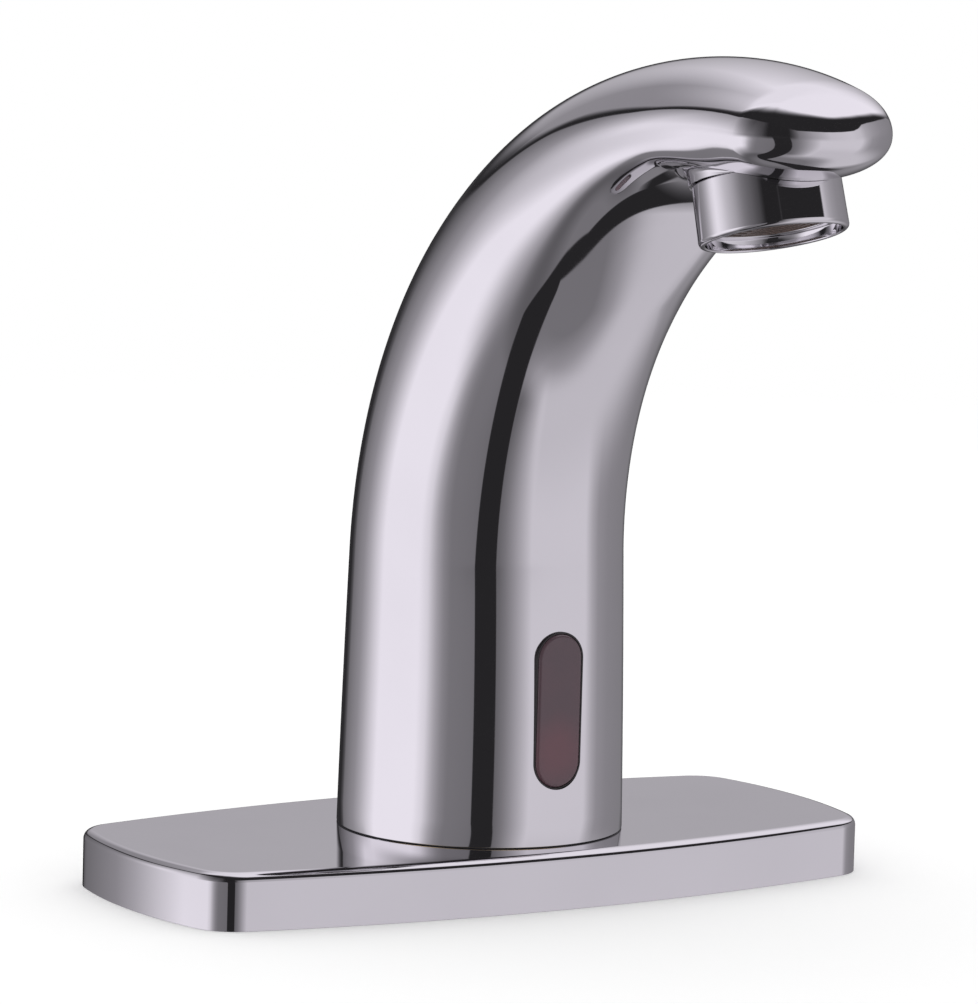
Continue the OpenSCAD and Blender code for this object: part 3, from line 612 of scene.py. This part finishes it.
def newMaterial(name, **constants):
    material = bpy.data.materials.new(name)
    material.use_nodes = True
    tree = material.node_tree
    tree.nodes.clear()
    shader = put(tree, "ShaderNodeBsdfPrincipled")
    for key, value in constants.items():
        shader.inputs[key].default_value = value
    out = put(tree, "ShaderNodeOutputMaterial")
    tree.links.new(shader.outputs[0], out.inputs["Surface"])
    return material, tree, shader


def wire(tree, shader, colour, roughness, height, depth):
    # depth is the bump's, in millimetres
    bump = put(tree, "ShaderNodeBump", {"Height": height, "Distance": depth * mm,
                                        "Strength": 1.0})
    tree.links.new(colour, shader.inputs["Base Color"])
    tree.links.new(roughness, shader.inputs["Roughness"])
    tree.links.new(bump.outputs[0], shader.inputs["Normal"])


# finishes

finishes = {}
chromeValues = {"bright": (0.80, 0.785, 0.815), "dull": (0.775, 0.76, 0.79), "smooth": 0.025,
                "cloud": 28.0, "cloudEdge": (0.4, 0.7), "markDepth": 0.0006}


def chrome(name, size, haze, marks, depth=1.0):
    v = chromeValues
    bright, dull = (rgb(*(c * depth for c in v[key])) for key in ("bright", "dull"))
    material, tree, shader = newMaterial(name, Metallic=1.0)
    wipe = groupNode(tree, polishGroup, Size=size, Smooth=v["smooth"], Haze=haze, Marks=marks)
    cloud = noise(tree, objectPlace(tree), v["cloud"], 3.0)
    colour = blendColour(tree, spread(tree, cloud, *v["cloudEdge"]), bright, dull)
    wire(tree, shader, colour, wipe["Roughness"], wipe["Height"], v["markDepth"])
    return material


finishes["body_chrome"] = chrome("bodyChrome", 55.0, 0.03, 0.3)
finishes["plate_chrome"] = chrome("plateChrome", 40.0, 0.05, 0.4, 0.93)
finishes["ring_chrome"] = chrome("ringChrome", 90.0, 0.03, 0.3)


def grainy(name, light, dark, rough, size, patch, change, height, fixed=None):
    material, tree, shader = newMaterial(name, **(fixed or {}))
    grain = groupNode(tree, grainGroup, Size=size, Patch=patch, Light=rgb(*light),
                      Dark=rgb(*dark), Rough=rough, Change=change)
    wire(tree, shader, grain["Color"], grain["Roughness"], grain["Height"], height)
    return material


# size and patch are noise scales, height is the bump's in millimetres
grainyFinishes = {
    "seal_rubber": {
        "name": "sealRubber", "light": (0.035, 0.035, 0.038), "dark": (0.06, 0.06, 0.062),
        "rough": 0.7, "size": 1400, "patch": 120, "change": 0.2, "height": 0.01},
    "window_seal_rubber": {
        "name": "windowSealRubber", "light": (0.014, 0.011, 0.013), "dark": (0.024, 0.02, 0.022),
        "rough": 0.4, "size": 1600, "patch": 150, "change": 0.15, "height": 0.006},
    "regulator_plastic": {
        "name": "regulatorPlastic", "light": (0.32, 0.52, 0.6), "dark": (0.26, 0.44, 0.52),
        "rough": 0.42, "size": 1500, "patch": 90, "change": 0.15, "height": 0.004},
    "case_plastic": {
        "name": "casePlastic", "light": (0.025, 0.025, 0.028), "dark": (0.04, 0.04, 0.044),
        "rough": 0.6, "size": 1100, "patch": 70, "change": 0.15, "height": 0.012},
    "connector_plastic": {
        "name": "connectorPlastic", "light": (0.78, 0.76, 0.68), "dark": (0.68, 0.65, 0.56),
        "rough": 0.45, "size": 1200, "patch": 60, "change": 0.15, "height": 0.006},
    "lead_jacket": {
        "name": "leadJacket", "light": (0.03, 0.03, 0.033), "dark": (0.05, 0.05, 0.053),
        "rough": 0.5, "size": 1300, "patch": 90, "change": 0.2, "height": 0.006},
    "insert_plastic": {
        "name": "insertPlastic", "light": (0.11, 0.075, 0.065), "dark": (0.06, 0.042, 0.04),
        "rough": 0.36, "size": 1200, "patch": 140, "change": 0.25, "height": 0.006},
    "cast_brass": {
        "name": "satinBrass", "light": (0.80, 0.64, 0.34), "dark": (0.66, 0.48, 0.22),
        "rough": 0.34, "size": 1300, "patch": 70, "change": 0.3, "height": 0.012,
        "fixed": {"Metallic": 1.0}},
    "clear_epoxy": {
        "name": "clearEpoxy", "light": (0.55, 0.6, 0.75), "dark": (0.45, 0.5, 0.66),
        "rough": 0.12, "size": 1500, "patch": 160, "change": 0.1, "height": 0.001,
        "fixed": {"Transmission Weight": 0.6, "IOR": 1.5}},
    "dark_epoxy": {
        "name": "darkEpoxy", "light": (0.02, 0.016, 0.024), "dark": (0.035, 0.03, 0.04),
        "rough": 0.12, "size": 1500, "patch": 160, "change": 0.1, "height": 0.001,
        "fixed": {"IOR": 1.5}},
    "red_epoxy": {
        "name": "redEpoxy", "light": (0.6, 0.06, 0.04), "dark": (0.42, 0.04, 0.03),
        "rough": 0.12, "size": 1500, "patch": 160, "change": 0.1, "height": 0.001,
        "fixed": {"Transmission Weight": 0.3, "IOR": 1.5}},
}
for slotName, values in grainyFinishes.items():
    finishes[slotName] = grainy(**values)


def steel():
    material, tree, shader = newMaterial("brushedSteel", Metallic=1.0)
    lines = groupNode(tree, brushGroup, Lines=900.0, Along=0.05)["Mask"]
    colour = blendColour(tree, lines, rgb(0.68, 0.69, 0.71), rgb(0.56, 0.57, 0.59))
    wire(tree, shader, colour, spread(tree, lines, 0, 1, (0.24, 0.38)), lines, 0.004)
    return material


def copper():
    material, tree, shader = newMaterial("copperTube", Metallic=1.0)
    lines = groupNode(tree, brushGroup, Lines=500.0, Along=0.08)["Mask"]
    grain = groupNode(tree, grainGroup, Size=700.0, Patch=90.0, Light=rgb(0.83, 0.5, 0.34),
                      Dark=rgb(0.58, 0.33, 0.22), Rough=0.32, Change=0.3)
    colour = blendColour(tree, calc(tree, "MULTIPLY", lines, 0.3), grain["Color"],
                         rgb(0.9, 0.6, 0.45))
    wire(tree, shader, colour, grain["Roughness"], lines, 0.006)
    return material


def foam():
    material, tree, shader = newMaterial("padFoam")
    cells = put(tree, "ShaderNodeTexVoronoi", {"Vector": objectPlace(tree), "Scale": 900.0})
    cells = cells.outputs["Distance"]
    shade = spread(tree, cells, 0.1, 0.7)
    colour = blendColour(tree, shade, rgb(0.02, 0.02, 0.021), rgb(0.06, 0.06, 0.062))
    wire(tree, shader, colour, spread(tree, cells, 0, 0.7, (0.95, 0.75)), cells, 0.12)
    return material


def windowPlastic():
    # smoked red lens, slightly redder in a soft round zone in its lower half
    material, tree, shader = newMaterial("windowPlastic", **{"Coat Weight": 0.3,
                                                            "Coat Roughness": 0.08})
    place = objectPlace(tree)
    low = put(tree, "ShaderNodeMapping", {"Vector": place, "Location": (0.1, 0.0, -5.2),
                                          "Scale": (180.0, 0.0, 180.0)})
    middle = put(tree, "ShaderNodeVectorMath", {0: low.outputs[0]}, operation="LENGTH")
    zone = softSpread(tree, middle.outputs["Value"], 1.6, 0.2)
    zone = calc(tree, "MULTIPLY_ADD", noise(tree, place, 160.0, 3.0), 0.5, zone)
    colour = blendColour(tree, spread(tree, zone, 0.15, 1.2), rgb(0.07, 0.044, 0.055),
                         rgb(0.105, 0.045, 0.058))
    fine = noise(tree, place, 1500.0)
    wire(tree, shader, colour, spread(tree, fine, 0.3, 0.7, (0.2, 0.27)), fine, 0.0008)
    return material


def boardLaminate():
    material, tree, shader = newMaterial("boardLaminate", **{"Coat Weight": 0.4})
    place = objectPlace(tree)
    weave = put(tree, "ShaderNodeTexWave", {"Vector": place, "Scale": 420.0, "Distortion": 1.5},
                bands_direction="DIAGONAL").outputs["Fac"]
    tracks = put(tree, "ShaderNodeTexBrick", {"Vector": place, "Scale": 260.0,
                                              "Mortar Size": 0.03}).outputs["Fac"]
    colour = blendColour(tree, weave, rgb(0.02, 0.14, 0.07), rgb(0.03, 0.2, 0.1))
    colour = blendColour(tree, calc(tree, "MULTIPLY", tracks, 0.5), colour,
                         rgb(0.08, 0.34, 0.17))
    wire(tree, shader, colour, spread(tree, weave, 0, 1, (0.35, 0.45)), tracks, 0.03)
    return material


finishes["fastener_steel"] = steel()
finishes["copper_tube"] = copper()
finishes["pad_foam"] = foam()
finishes["window_plastic"] = windowPlastic()
finishes["board_laminate"] = boardLaminate()


def finish(obj, slotName):
    material = finishes[slotName]
    if not obj.material_slots:
        obj.data.materials.append(material)
    for place in obj.material_slots:
        place.material = material


def settle(obj, body, slotName, *nodes):
    finish(obj, slotName)
    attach(obj, body)
    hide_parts(*nodes)


for entry in frame["record"]["subparts"]:
    finish(frame["nodes"][entry["node"]], entry["material_slot"])
# the plate isn't mirrored in the spout, as in the photograph, so its pad isn't either
frame["nodes"]["plate_pad"].visible_glossy = False
print("finishes made")


# spout: a loft, because no operator follows its changing section

spout = {
    "footZ": 11.3,
    "footR": 27.4,
    "riser": 51.5,
    "bend1R": 82,
    "bend1Angle": 40,
    "bend2R": 99,
    "bend2Angle": 60.48,
    "noseHalfT": 8.3,
    "noseHalfW": 14.4,
    "sideTaper": 4.5,
    "thicknessPower": 1.83,
    "widthPower": 6.2,
    "capLength": 10.5,
    "capPower": 1.95,
    "flatFrom": 0.6,
    "flatTo": 0.88,
    "underFlat": 0.53,
    "tipFrom": 0.83,
    "tipTo": 0.93,
    "tipFlat": 0.2,
    "underSquare": 1.6,
    "tipSquare": 0.1,
    "wall": 2.6,
    "hollowStop": 14.8,
    "hollowCap": 1,
    # a thin lip that hides the gasket: how far along the spout, how far in from its surface
    "foot": ((0, 0.7), (-0.24, 0.7), (-0.27, 0.66), (-0.27, 0.1), (-0.24, 0.03), (-0.17, 0)),
    "sides": 128,
    "riserRings": 12,
    "bendRings": 120,
    "capRings": 28,
    "hollowRings": 50,
}
bend1L = spout["bend1R"] * math.radians(spout["bend1Angle"])
bend2L = spout["bend2R"] * math.radians(spout["bend2Angle"])
spoutL = spout["riser"] + bend1L + bend2L


def easeBetween(value, start, stop):
    u = min(max((value - start) / (stop - start), 0), 1)
    return u * u * (3 - 2 * u)


def spoutPoint(s, turn, inset):
    # s runs along the spout from its foot, turn goes round it, inset goes in from its surface
    p = spout
    turn1 = min(max((s - p["riser"]) / p["bend1R"], 0), math.radians(p["bend1Angle"]))
    turn2 = max((s - p["riser"] - bend1L) / p["bend2R"], 0)
    heading = turn1 + turn2
    lineY = -p["bend1R"] * (1 - math.cos(turn1)) - p["bend2R"] * (
        math.cos(turn1) - math.cos(heading))
    lineZ = (p["footZ"] + min(s, p["riser"]) + p["bend1R"] * math.sin(turn1)
             + p["bend2R"] * (math.sin(heading) - math.sin(turn1)))
    t = max(s, 0) / spoutL
    flat = easeBetween(t, p["flatFrom"], p["flatTo"])
    tip = easeBetween(t, p["tipFrom"], p["tipTo"])
    q = min(max((s - spoutL + p["capLength"]) / p["capLength"], 0), 1)
    cap = max(1 - q ** p["capPower"], 0) ** (1 / p["capPower"])
    up = cap * (p["footR"] - (p["footR"] - p["noseHalfT"]) * t ** p["thicknessPower"])
    fall = p["underFlat"] + (p["tipFlat"] - p["underFlat"]) * tip
    square = p["underSquare"] + (p["tipSquare"] - p["underSquare"]) * tip
    low = up * (1 - fall * flat)
    wide = cap * (p["footR"] - p["sideTaper"] * t
                  - (p["footR"] - p["sideTaper"] - p["noseHalfW"]) * t ** p["widthPower"])
    under = math.sin(turn) > 0
    power = 2 + square * flat if under else 2
    c, v = math.cos(turn), math.sin(turn)
    x = (wide - inset) * math.copysign(abs(c) ** (2 / power), c)
    reach = ((low if under else up) - inset) * math.copysign(abs(v) ** (2 / power), v)
    return (x, lineY - reach * math.cos(heading), lineZ - reach * math.sin(heading))


def makeSpout():
    p = spout
    sides = p["sides"]
    bend = spoutL - p["riser"] - p["capLength"]
    rings = list(p["foot"])
    rings += [(p["riser"] * k / p["riserRings"], 0) for k in range(1, p["riserRings"] + 1)]
    rings += [(p["riser"] + bend * k / p["bendRings"], 0) for k in range(1, p["bendRings"] + 1)]
    rings += [(spoutL - p["capLength"] * (1 - math.sin(math.pi / 2 * k / p["capRings"])), 0)
              for k in range(1, p["capRings"])]
    tip = len(rings)
    hollow = spoutL - p["hollowStop"]
    inner = [(hollow * (1 - k / p["hollowRings"]), p["wall"])
             for k in range(p["hollowRings"] + 1)]
    points = [spoutPoint(s, 2 * math.pi * k / sides, inset)
              for s, inset in rings + inner for k in range(sides)]
    noseTip = len(points)
    points.append(spoutPoint(spoutL, 0, 0))
    hollowTip = noseTip + 1
    base = spoutPoint(hollow + p["hollowCap"], math.pi / 2, 0)
    top = spoutPoint(hollow + p["hollowCap"], -math.pi / 2, 0)
    points.append(tuple((a + b) / 2 for a, b in zip(base, top)))
    faces = []

    def join(i, j):
        for k in range(sides):
            a, b = k, (k + 1) % sides
            faces.append((i * sides + a, i * sides + b, j * sides + b, j * sides + a))

    for i in range(tip - 1):
        join(i, i + 1)
    for i in range(tip, len(rings + inner) - 1):
        join(i, i + 1)
    join(len(rings + inner) - 1, 0)
    for k in range(sides):
        a, b = k, (k + 1) % sides
        faces.append(((tip - 1) * sides + a, (tip - 1) * sides + b, noseTip))
        faces.append((tip * sides + b, tip * sides + a, hollowTip))
    obj = meshFrom("spoutShell", points, faces)
    tidyNormals(obj, 0.0005)
    return obj


# outlet: the way down through the mouth

outlet = {
    "mouth": (0, -92.43, 131.71),
    "tilt": 17.2946,
    "collarR": 13.85,
    "skirtR": 13.62,
    "seam": 11.0,
    "seamFall": 1.0,
    "ledge": 11.15,
    "neckBoreR": 11.05,
    "neckBore": (6.6, 15.6),
    "neckSides": 96,
    "room": 9,
    "sides": 160,
    "lookFrom": 3,
    "seamPower": 1.3,
    "flare": 2.2,
    "flareShare": 0.7,
    "flareLeast": 0.3,
    "flareSteps": 10,
    "wallLeast": 0.2,
    "wallEdge": 0.06,
    "skirtEdge": 0.04,
    "overlap": (0.05, 0.12),
    "tuck": 0.6,
    "sink": 1.6,
}
outletPlace = Matrix.Translation(Vector(outlet["mouth"]) * mm) @ Matrix.Rotation(
    math.radians(-outlet["tilt"]), 4, "X")


def seatInOutlet(obj):
    obj.data.transform(outletPlace)
    obj.data.update()


def roundTool(radius, bottom, top, sides):
    size = {"radius": radius * mm, "depth": (top - bottom) * mm}
    bpy.ops.mesh.primitive_cylinder_add(vertices=sides, location=(0, 0, (top + bottom) / 2 * mm),
                                        **size)
    obj = bpy.context.active_object
    obj.data.transform(obj.matrix_world)
    obj.matrix_world = Matrix.Identity(4)
    return obj


def makeCollar(shell):
    # wall of the collar and its flare up to the shell, found by looking up at the shell
    tree = BVHTree.FromObject(shell, bpy.context.evaluated_depsgraph_get())
    o = outlet
    up = (outletPlace.to_3x3() @ Vector((0, 0, 1))).normalized()
    wallR, inner, boreR = o["collarR"], o["skirtR"], o["neckBoreR"]
    turns = o["sides"]
    profiles = []

    def heightAt(radius, turn):
        spot = Vector((radius * math.cos(turn), radius * math.sin(turn), o["lookFrom"])) * mm
        hit = tree.ray_cast(outletPlace @ spot, up)
        return hit[3] / mm + o["lookFrom"] if hit[3] else None

    for k in range(turns):
        turn = 2 * math.pi * k / turns
        near = heightAt(wallR, turn)
        far = heightAt(wallR + o["flare"], turn) or near
        slope = (far - near) / o["flare"]
        # the seam follows the nose and comes down in front
        seam = o["seam"] - o["seamFall"] * max(-math.sin(turn), 0) ** o["seamPower"]
        flare = min(o["flare"], max((near - seam) * o["flareShare"], o["flareLeast"]))
        tilt = math.sqrt(1 + slope * slope)
        midH = max(near + slope * flare - flare * tilt, seam + o["wallLeast"])
        last = math.degrees(math.atan2(1, -slope))
        profile = [(boreR, o["ledge"]), (inner, o["ledge"]), (inner, seam + o["skirtEdge"]),
                   (inner + o["skirtEdge"], seam), (wallR - o["wallEdge"], seam),
                   (wallR, seam + o["wallEdge"]), (wallR, midH - o["wallEdge"] / 2)]
        profile += arcPoints(wallR + flare, midH, flare, 180, last, o["flareSteps"])
        r, h = profile[-1]
        # the rest lies inside the shell
        profile += [(r + o["overlap"][0], h + o["overlap"][1]), (r - o["tuck"], near + o["sink"]),
                    (boreR, near + o["sink"])]
        profiles.append([(a * math.cos(turn), a * math.sin(turn), b) for a, b in profile])
    rows = len(profiles[0])
    faces = []
    for k in range(turns):
        for j in range(rows):
            a, b = k * rows, ((k + 1) % turns) * rows
            faces.append((a + j, b + j, b + (j + 1) % rows, a + (j + 1) % rows))
    obj = meshFrom("outletCollar", [p for profile in profiles for p in profile], faces)
    seatInOutlet(obj)
    tidyNormals(obj, 0.0005)
    smooth(obj, 35)
    return obj


def pillPoints(width, length, y, z, steps=40):
    reach = (length - width) / 2
    upper = arcPoints(0, z + reach, width / 2, 0, 180, steps)
    lower = arcPoints(0, z - reach, width / 2, 180, 360, steps)
    return [(px, y, pz) for px, pz in upper + lower]


def pillSolid(name, width, length, yFront, yBack, z):
    points = pillPoints(width, length, yBack, z)
    obj = meshFrom(name, points, faces=[tuple(range(len(points)))])
    thicken(obj, (0, yFront - yBack, 0))
    return obj


window = {
    "z": 36.7,
    "width": 10.4,
    "length": 30,
    "seal": 0.4,
    "front": -27.34,
    "edge": 0.75,
    "sealFront": -26.95,
    "back": -22.88,
    "flangeBack": -22.08,
    "flange": 1.0,
    "edgeSteps": 8,
    "sealEdge": 0.14,
    "sealEdgeSteps": 3,
    "slot": (-29, -20),
}

shell = makeSpout()
collar = makeCollar(shell)
cutAway(shell, pillSolid("slotTool", window["width"], window["length"], *window["slot"],
                         window["z"]))
# the bore for the neck, and room for the ring under its ledge
for tool in (roundTool(outlet["neckBoreR"], *outlet["neckBore"], outlet["neckSides"]),
             roundTool(outlet["skirtR"], outlet["ledge"] - outlet["room"], outlet["ledge"],
                       outlet["sides"])):
    seatInOutlet(tool)
    cutAway(shell, tool)
smooth(shell, 35)
settle(shell, "spout", "body_chrome", "spout_body")
settle(collar, "spout", "body_chrome", "spout_body")
print("spout made:", len(shell.data.polygons), "faces")


# trim plate

plate = {
    "length": 152.4,
    "depth": 69.5,
    "height": 10.8,
    "sideArc": 337,
    "endArc": 91,
    "corner": 9,
    "middleY": 1.3,
    "edge": 1.8,
    "edgeSteps": 10,
    "rim": 2.4,
    "roof": 8.2,
    "hole": 18.3,
    "holeTool": (-5, 25),
    "holeSides": 128,
}


def plateOutline():
    p = plate
    sideY = p["sideArc"] - p["depth"] / 2
    endX = p["endArc"] - p["length"] / 2
    # the corner circle touches both arcs from inside
    a, b = p["sideArc"] - p["corner"], p["endArc"] - p["corner"]
    slope = endX / sideY
    level = (a * a - b * b - sideY ** 2 + endX ** 2) / (2 * sideY)
    half = (endX + level * slope) / (1 + slope ** 2)
    rest = (endX ** 2 + level ** 2 - b * b) / (1 + slope ** 2)
    cornerX = -half + math.sqrt(half * half - rest)
    cornerY = level + slope * cornerX
    endHalf = math.degrees(math.atan2(cornerY, cornerX + endX))
    sideHalf = math.degrees(math.atan2(cornerX, cornerY + sideY))
    points = []
    for quarter in (0, 180):
        flip = 1 if quarter == 0 else -1
        arcs = [(-endX, 0, p["endArc"], -endHalf, endHalf, 30),
                (cornerX, cornerY, p["corner"], endHalf, 90 - sideHalf, 18),
                (0, -sideY, p["sideArc"], 90 - sideHalf, 90 + sideHalf, 60),
                (-cornerX, cornerY, p["corner"], 90 + sideHalf, 180 - endHalf, 18)]
        for cx, cy, r, start, stop, steps in arcs:
            for x, y in arcPoints(cx, cy, r, start, stop, steps)[:-1]:
                points.append((x * flip, y * flip + p["middleY"], 0))
    return points


def makePlate():
    p = plate
    points = plateOutline()
    obj = meshFrom("trimPlateCover", points, faces=[tuple(range(len(points)))])
    openMesh(obj)
    bpy.ops.mesh.select_all(action="SELECT")
    bpy.ops.mesh.extrude_region_move(TRANSFORM_OT_translate={"value": (0, 0, p["height"] * mm)})
    bpy.ops.mesh.select_all(action="SELECT")
    bpy.ops.mesh.normals_make_consistent(inside=False)
    # hollow from below, with a roof
    pick(obj, "faces", lambda f: f.normal.z < -0.9)
    bpy.ops.mesh.inset(thickness=p["rim"] * mm, use_even_offset=True)
    bpy.ops.mesh.extrude_region_move(TRANSFORM_OT_translate={"value": (0, 0, p["roof"] * mm)})
    bpy.ops.mesh.select_mode(type="EDGE")
    top = p["height"] * mm

    def onRim(edge):
        level = all(abs(v.co.z - top) < tolerance for v in edge.verts)
        return level and any(abs(f.normal.z) < 0.5 for f in edge.link_faces)

    pick(obj, "edges", onRim)
    bpy.ops.mesh.bevel(offset=p["edge"] * mm, offset_type="OFFSET", segments=p["edgeSteps"],
                       profile=0.5, affect="EDGES")
    closeMesh()
    cutAway(obj, roundTool(p["hole"], *p["holeTool"], p["holeSides"]))
    smooth(obj, 40, weighted=True)
    settle(obj, "spout", "plate_chrome", "trim_plate")
    obj.visible_glossy = False


makePlate()
print("trim plate made")


# aerator ring and insert

ring = {
    "outerR": 13.55,
    "topR": 13.3,
    "height": 10.9,
    "topEdge": 0.3,
    "lowEdge": 0.85,
    "mouthR": 12.3,
    "mouthEdge": 0.3,
    "mouthDepth": 2.2,
    "mouthStep": 0.2,
    "stepMiddle": 0.06,
    "lipR": 10.35,
    "lipTop": 3.0,
    "lipEdge": 0.25,
    "boreR": 11.05,
    "boreEdge": 0.2,
    "threadStart": 3.0,
    "pitch": 1.0,
    "threadDepth": 0.12,
    "pointGap": 0.04,
}


def makeRing():
    r = ring
    outer, low, top, high = r["outerR"], r["lowEdge"], r["topR"], r["height"]
    mouth, floor, step, middle = r["mouthR"], r["mouthDepth"], r["mouthStep"], r["stepMiddle"]
    topEdge, mouthEdge, lipEdge, gap = r["topEdge"], r["mouthEdge"], r["lipEdge"], r["pointGap"]
    profile = [(r["boreR"] + r["boreEdge"], high), (top - topEdge - gap, high)]
    profile += arcPoints(top - topEdge, high - topEdge, topEdge, 90, 0, 8)
    profile += [(top, high - topEdge - gap), (outer, low + gap)]
    profile += arcPoints(outer - low, low, low, 0, -90, 12)
    profile += arcPoints(mouth + mouthEdge, mouthEdge, mouthEdge, -90, -180, 6)
    profile += [(mouth, mouthEdge + gap), (mouth, floor - step), (mouth - middle, floor - middle),
                (mouth - step, floor)]
    profile += arcPoints(r["lipR"] + lipEdge, floor + lipEdge, lipEdge, -90, -180, 5)
    profile += [(r["lipR"], r["lipTop"]), (r["boreR"], r["lipTop"])]
    # thread inside, drawn as shallow ridges
    h = r["lipTop"] + r["threadStart"]
    while h + r["pitch"] < high - r["boreEdge"]:
        profile += [(r["boreR"], h), (r["boreR"] + r["threadDepth"], h + r["pitch"] / 2)]
        h += r["pitch"]
    profile.append((r["boreR"], high - r["boreEdge"]))
    obj = lathe("aeratorRing", profile, 160)
    seatInOutlet(obj)
    smooth(obj, 38)
    settle(obj, "aerator_shell", "ring_chrome", "aerator_housing")


makeRing()

insert = {
    "flangeR": 10.7,
    "flangeLow": 3.0,
    "flangeHigh": 5.2,
    "faceR": 10.2,
    "faceLow": 2.4,
    "floorHigh": 4.0,
    "ridge": 0.6,
    "pitch": 1.7,
    "ridges": 6,
    "spoke": 1.0,
    "cupR": 8.6,
    "cupWall": 1.0,
    "cupTop": 7.8,
    "edge": 0.15,
    "centreR": 0.02,
    "spokeShort": 0.2,
    "spokeLift": 0.1,
    "spokeEdge": 0.12,
    "bodySteps": 96,
    "ridgeSteps": 72,
}


def roundedRing(inner, outer, low, high, edge):
    points = [(inner, high), (outer, high)]
    points += arcPoints(outer - edge, low + edge, edge, 0, -90, 3)
    points += arcPoints(inner + edge, low + edge, edge, -90, -180, 3)
    return points


def makeInsert():
    v = insert
    faceR, low, floor, edge = v["faceR"], v["faceLow"], v["floorHigh"], v["edge"]
    rimR, cupR, cupIn = faceR - v["ridge"], v["cupR"], v["cupR"] - v["cupWall"]
    body = [(rimR, floor), (rimR, low + edge), (rimR + edge, low), (faceR - edge, low),
            (faceR, low + edge), (faceR, v["flangeLow"]), (v["flangeR"], v["flangeLow"]),
            (v["flangeR"], v["flangeHigh"]), (cupR, v["flangeHigh"]), (cupR, v["cupTop"]),
            (cupIn, v["cupTop"]), (cupIn, floor)]
    pieces = [lathe("insertBody", body, v["bodySteps"])]
    for k in range(1, v["ridges"]):
        outer = faceR - k * v["pitch"]
        inner = outer - v["ridge"] if k < v["ridges"] - 1 else v["centreR"]
        pieces.append(lathe("insertRidge", roundedRing(inner, outer, low, floor, edge),
                            v["ridgeSteps"]))
    # two bars cross the face and carry the ridges
    barLow = low + v["spokeLift"]
    size = (2 * (faceR - v["spokeShort"]) * mm, v["spoke"] * mm, (floor - barLow) * mm, 1)
    for turn in (0, 90):
        bpy.ops.mesh.primitive_cube_add(size=1)
        bar = bpy.context.active_object
        bar.data.transform(Matrix.Diagonal(size))
        bar.data.transform(Matrix.Translation((0, 0, (floor + barLow) / 2 * mm)))
        bar.data.transform(Matrix.Rotation(math.radians(turn), 4, "Z"))
        openMesh(bar, "EDGE")
        bpy.ops.mesh.select_all(action="SELECT")
        bpy.ops.mesh.bevel(offset=v["spokeEdge"] * mm, segments=2, affect="EDGES")
        closeMesh()
        pieces.append(bar)
    obj = joinAll(pieces)
    obj.name = "aeratorFace"
    seatInOutlet(obj)
    smooth(obj, 40)
    settle(obj, "aerator_core", "insert_plastic", "aerator_insert")


makeInsert()
print("aerator made")


# sensor window: a lens with a soft edge in a thin black seal

def softFront(obj, front, edge, steps):
    openMesh(obj, "EDGE")
    pick(obj, "edges", lambda e: all(abs(v.co.y - front * mm) < tolerance for v in e.verts)
         and any(abs(f.normal.y) < 0.5 for f in e.link_faces))
    bpy.ops.mesh.bevel(offset=edge * mm, segments=steps, profile=0.5, affect="EDGES")
    closeMesh()


def makeWindow():
    w = window
    width, length = w["width"] - 2 * w["seal"], w["length"] - 2 * w["seal"]
    lens = pillSolid("windowLens", width, length, w["front"], w["back"], w["z"])
    softFront(lens, w["front"], w["edge"], w["edgeSteps"])
    flange = pillSolid("lensFlange", w["width"] + 2 * w["flange"], w["length"] + 2 * w["flange"],
                       w["back"], w["flangeBack"], w["z"])
    joinAll([lens, flange])
    smooth(lens, 40, weighted=True)
    settle(lens, "spout", "window_plastic", "sensor_window")
    outer = pillPoints(w["width"], w["length"], w["back"], w["z"])
    inner = pillPoints(width, length, w["back"], w["z"])
    count = len(outer)
    faces = [(k, (k + 1) % count, count + (k + 1) % count, count + k) for k in range(count)]
    seal = meshFrom("windowBead", outer + inner, faces)
    thicken(seal, (0, w["sealFront"] - w["back"], 0))
    softFront(seal, w["sealFront"], w["sealEdge"], w["sealEdgeSteps"])
    smooth(seal, 50)
    settle(seal, "spout", "window_seal_rubber", "window_seal")


makeWindow()
print("window made")
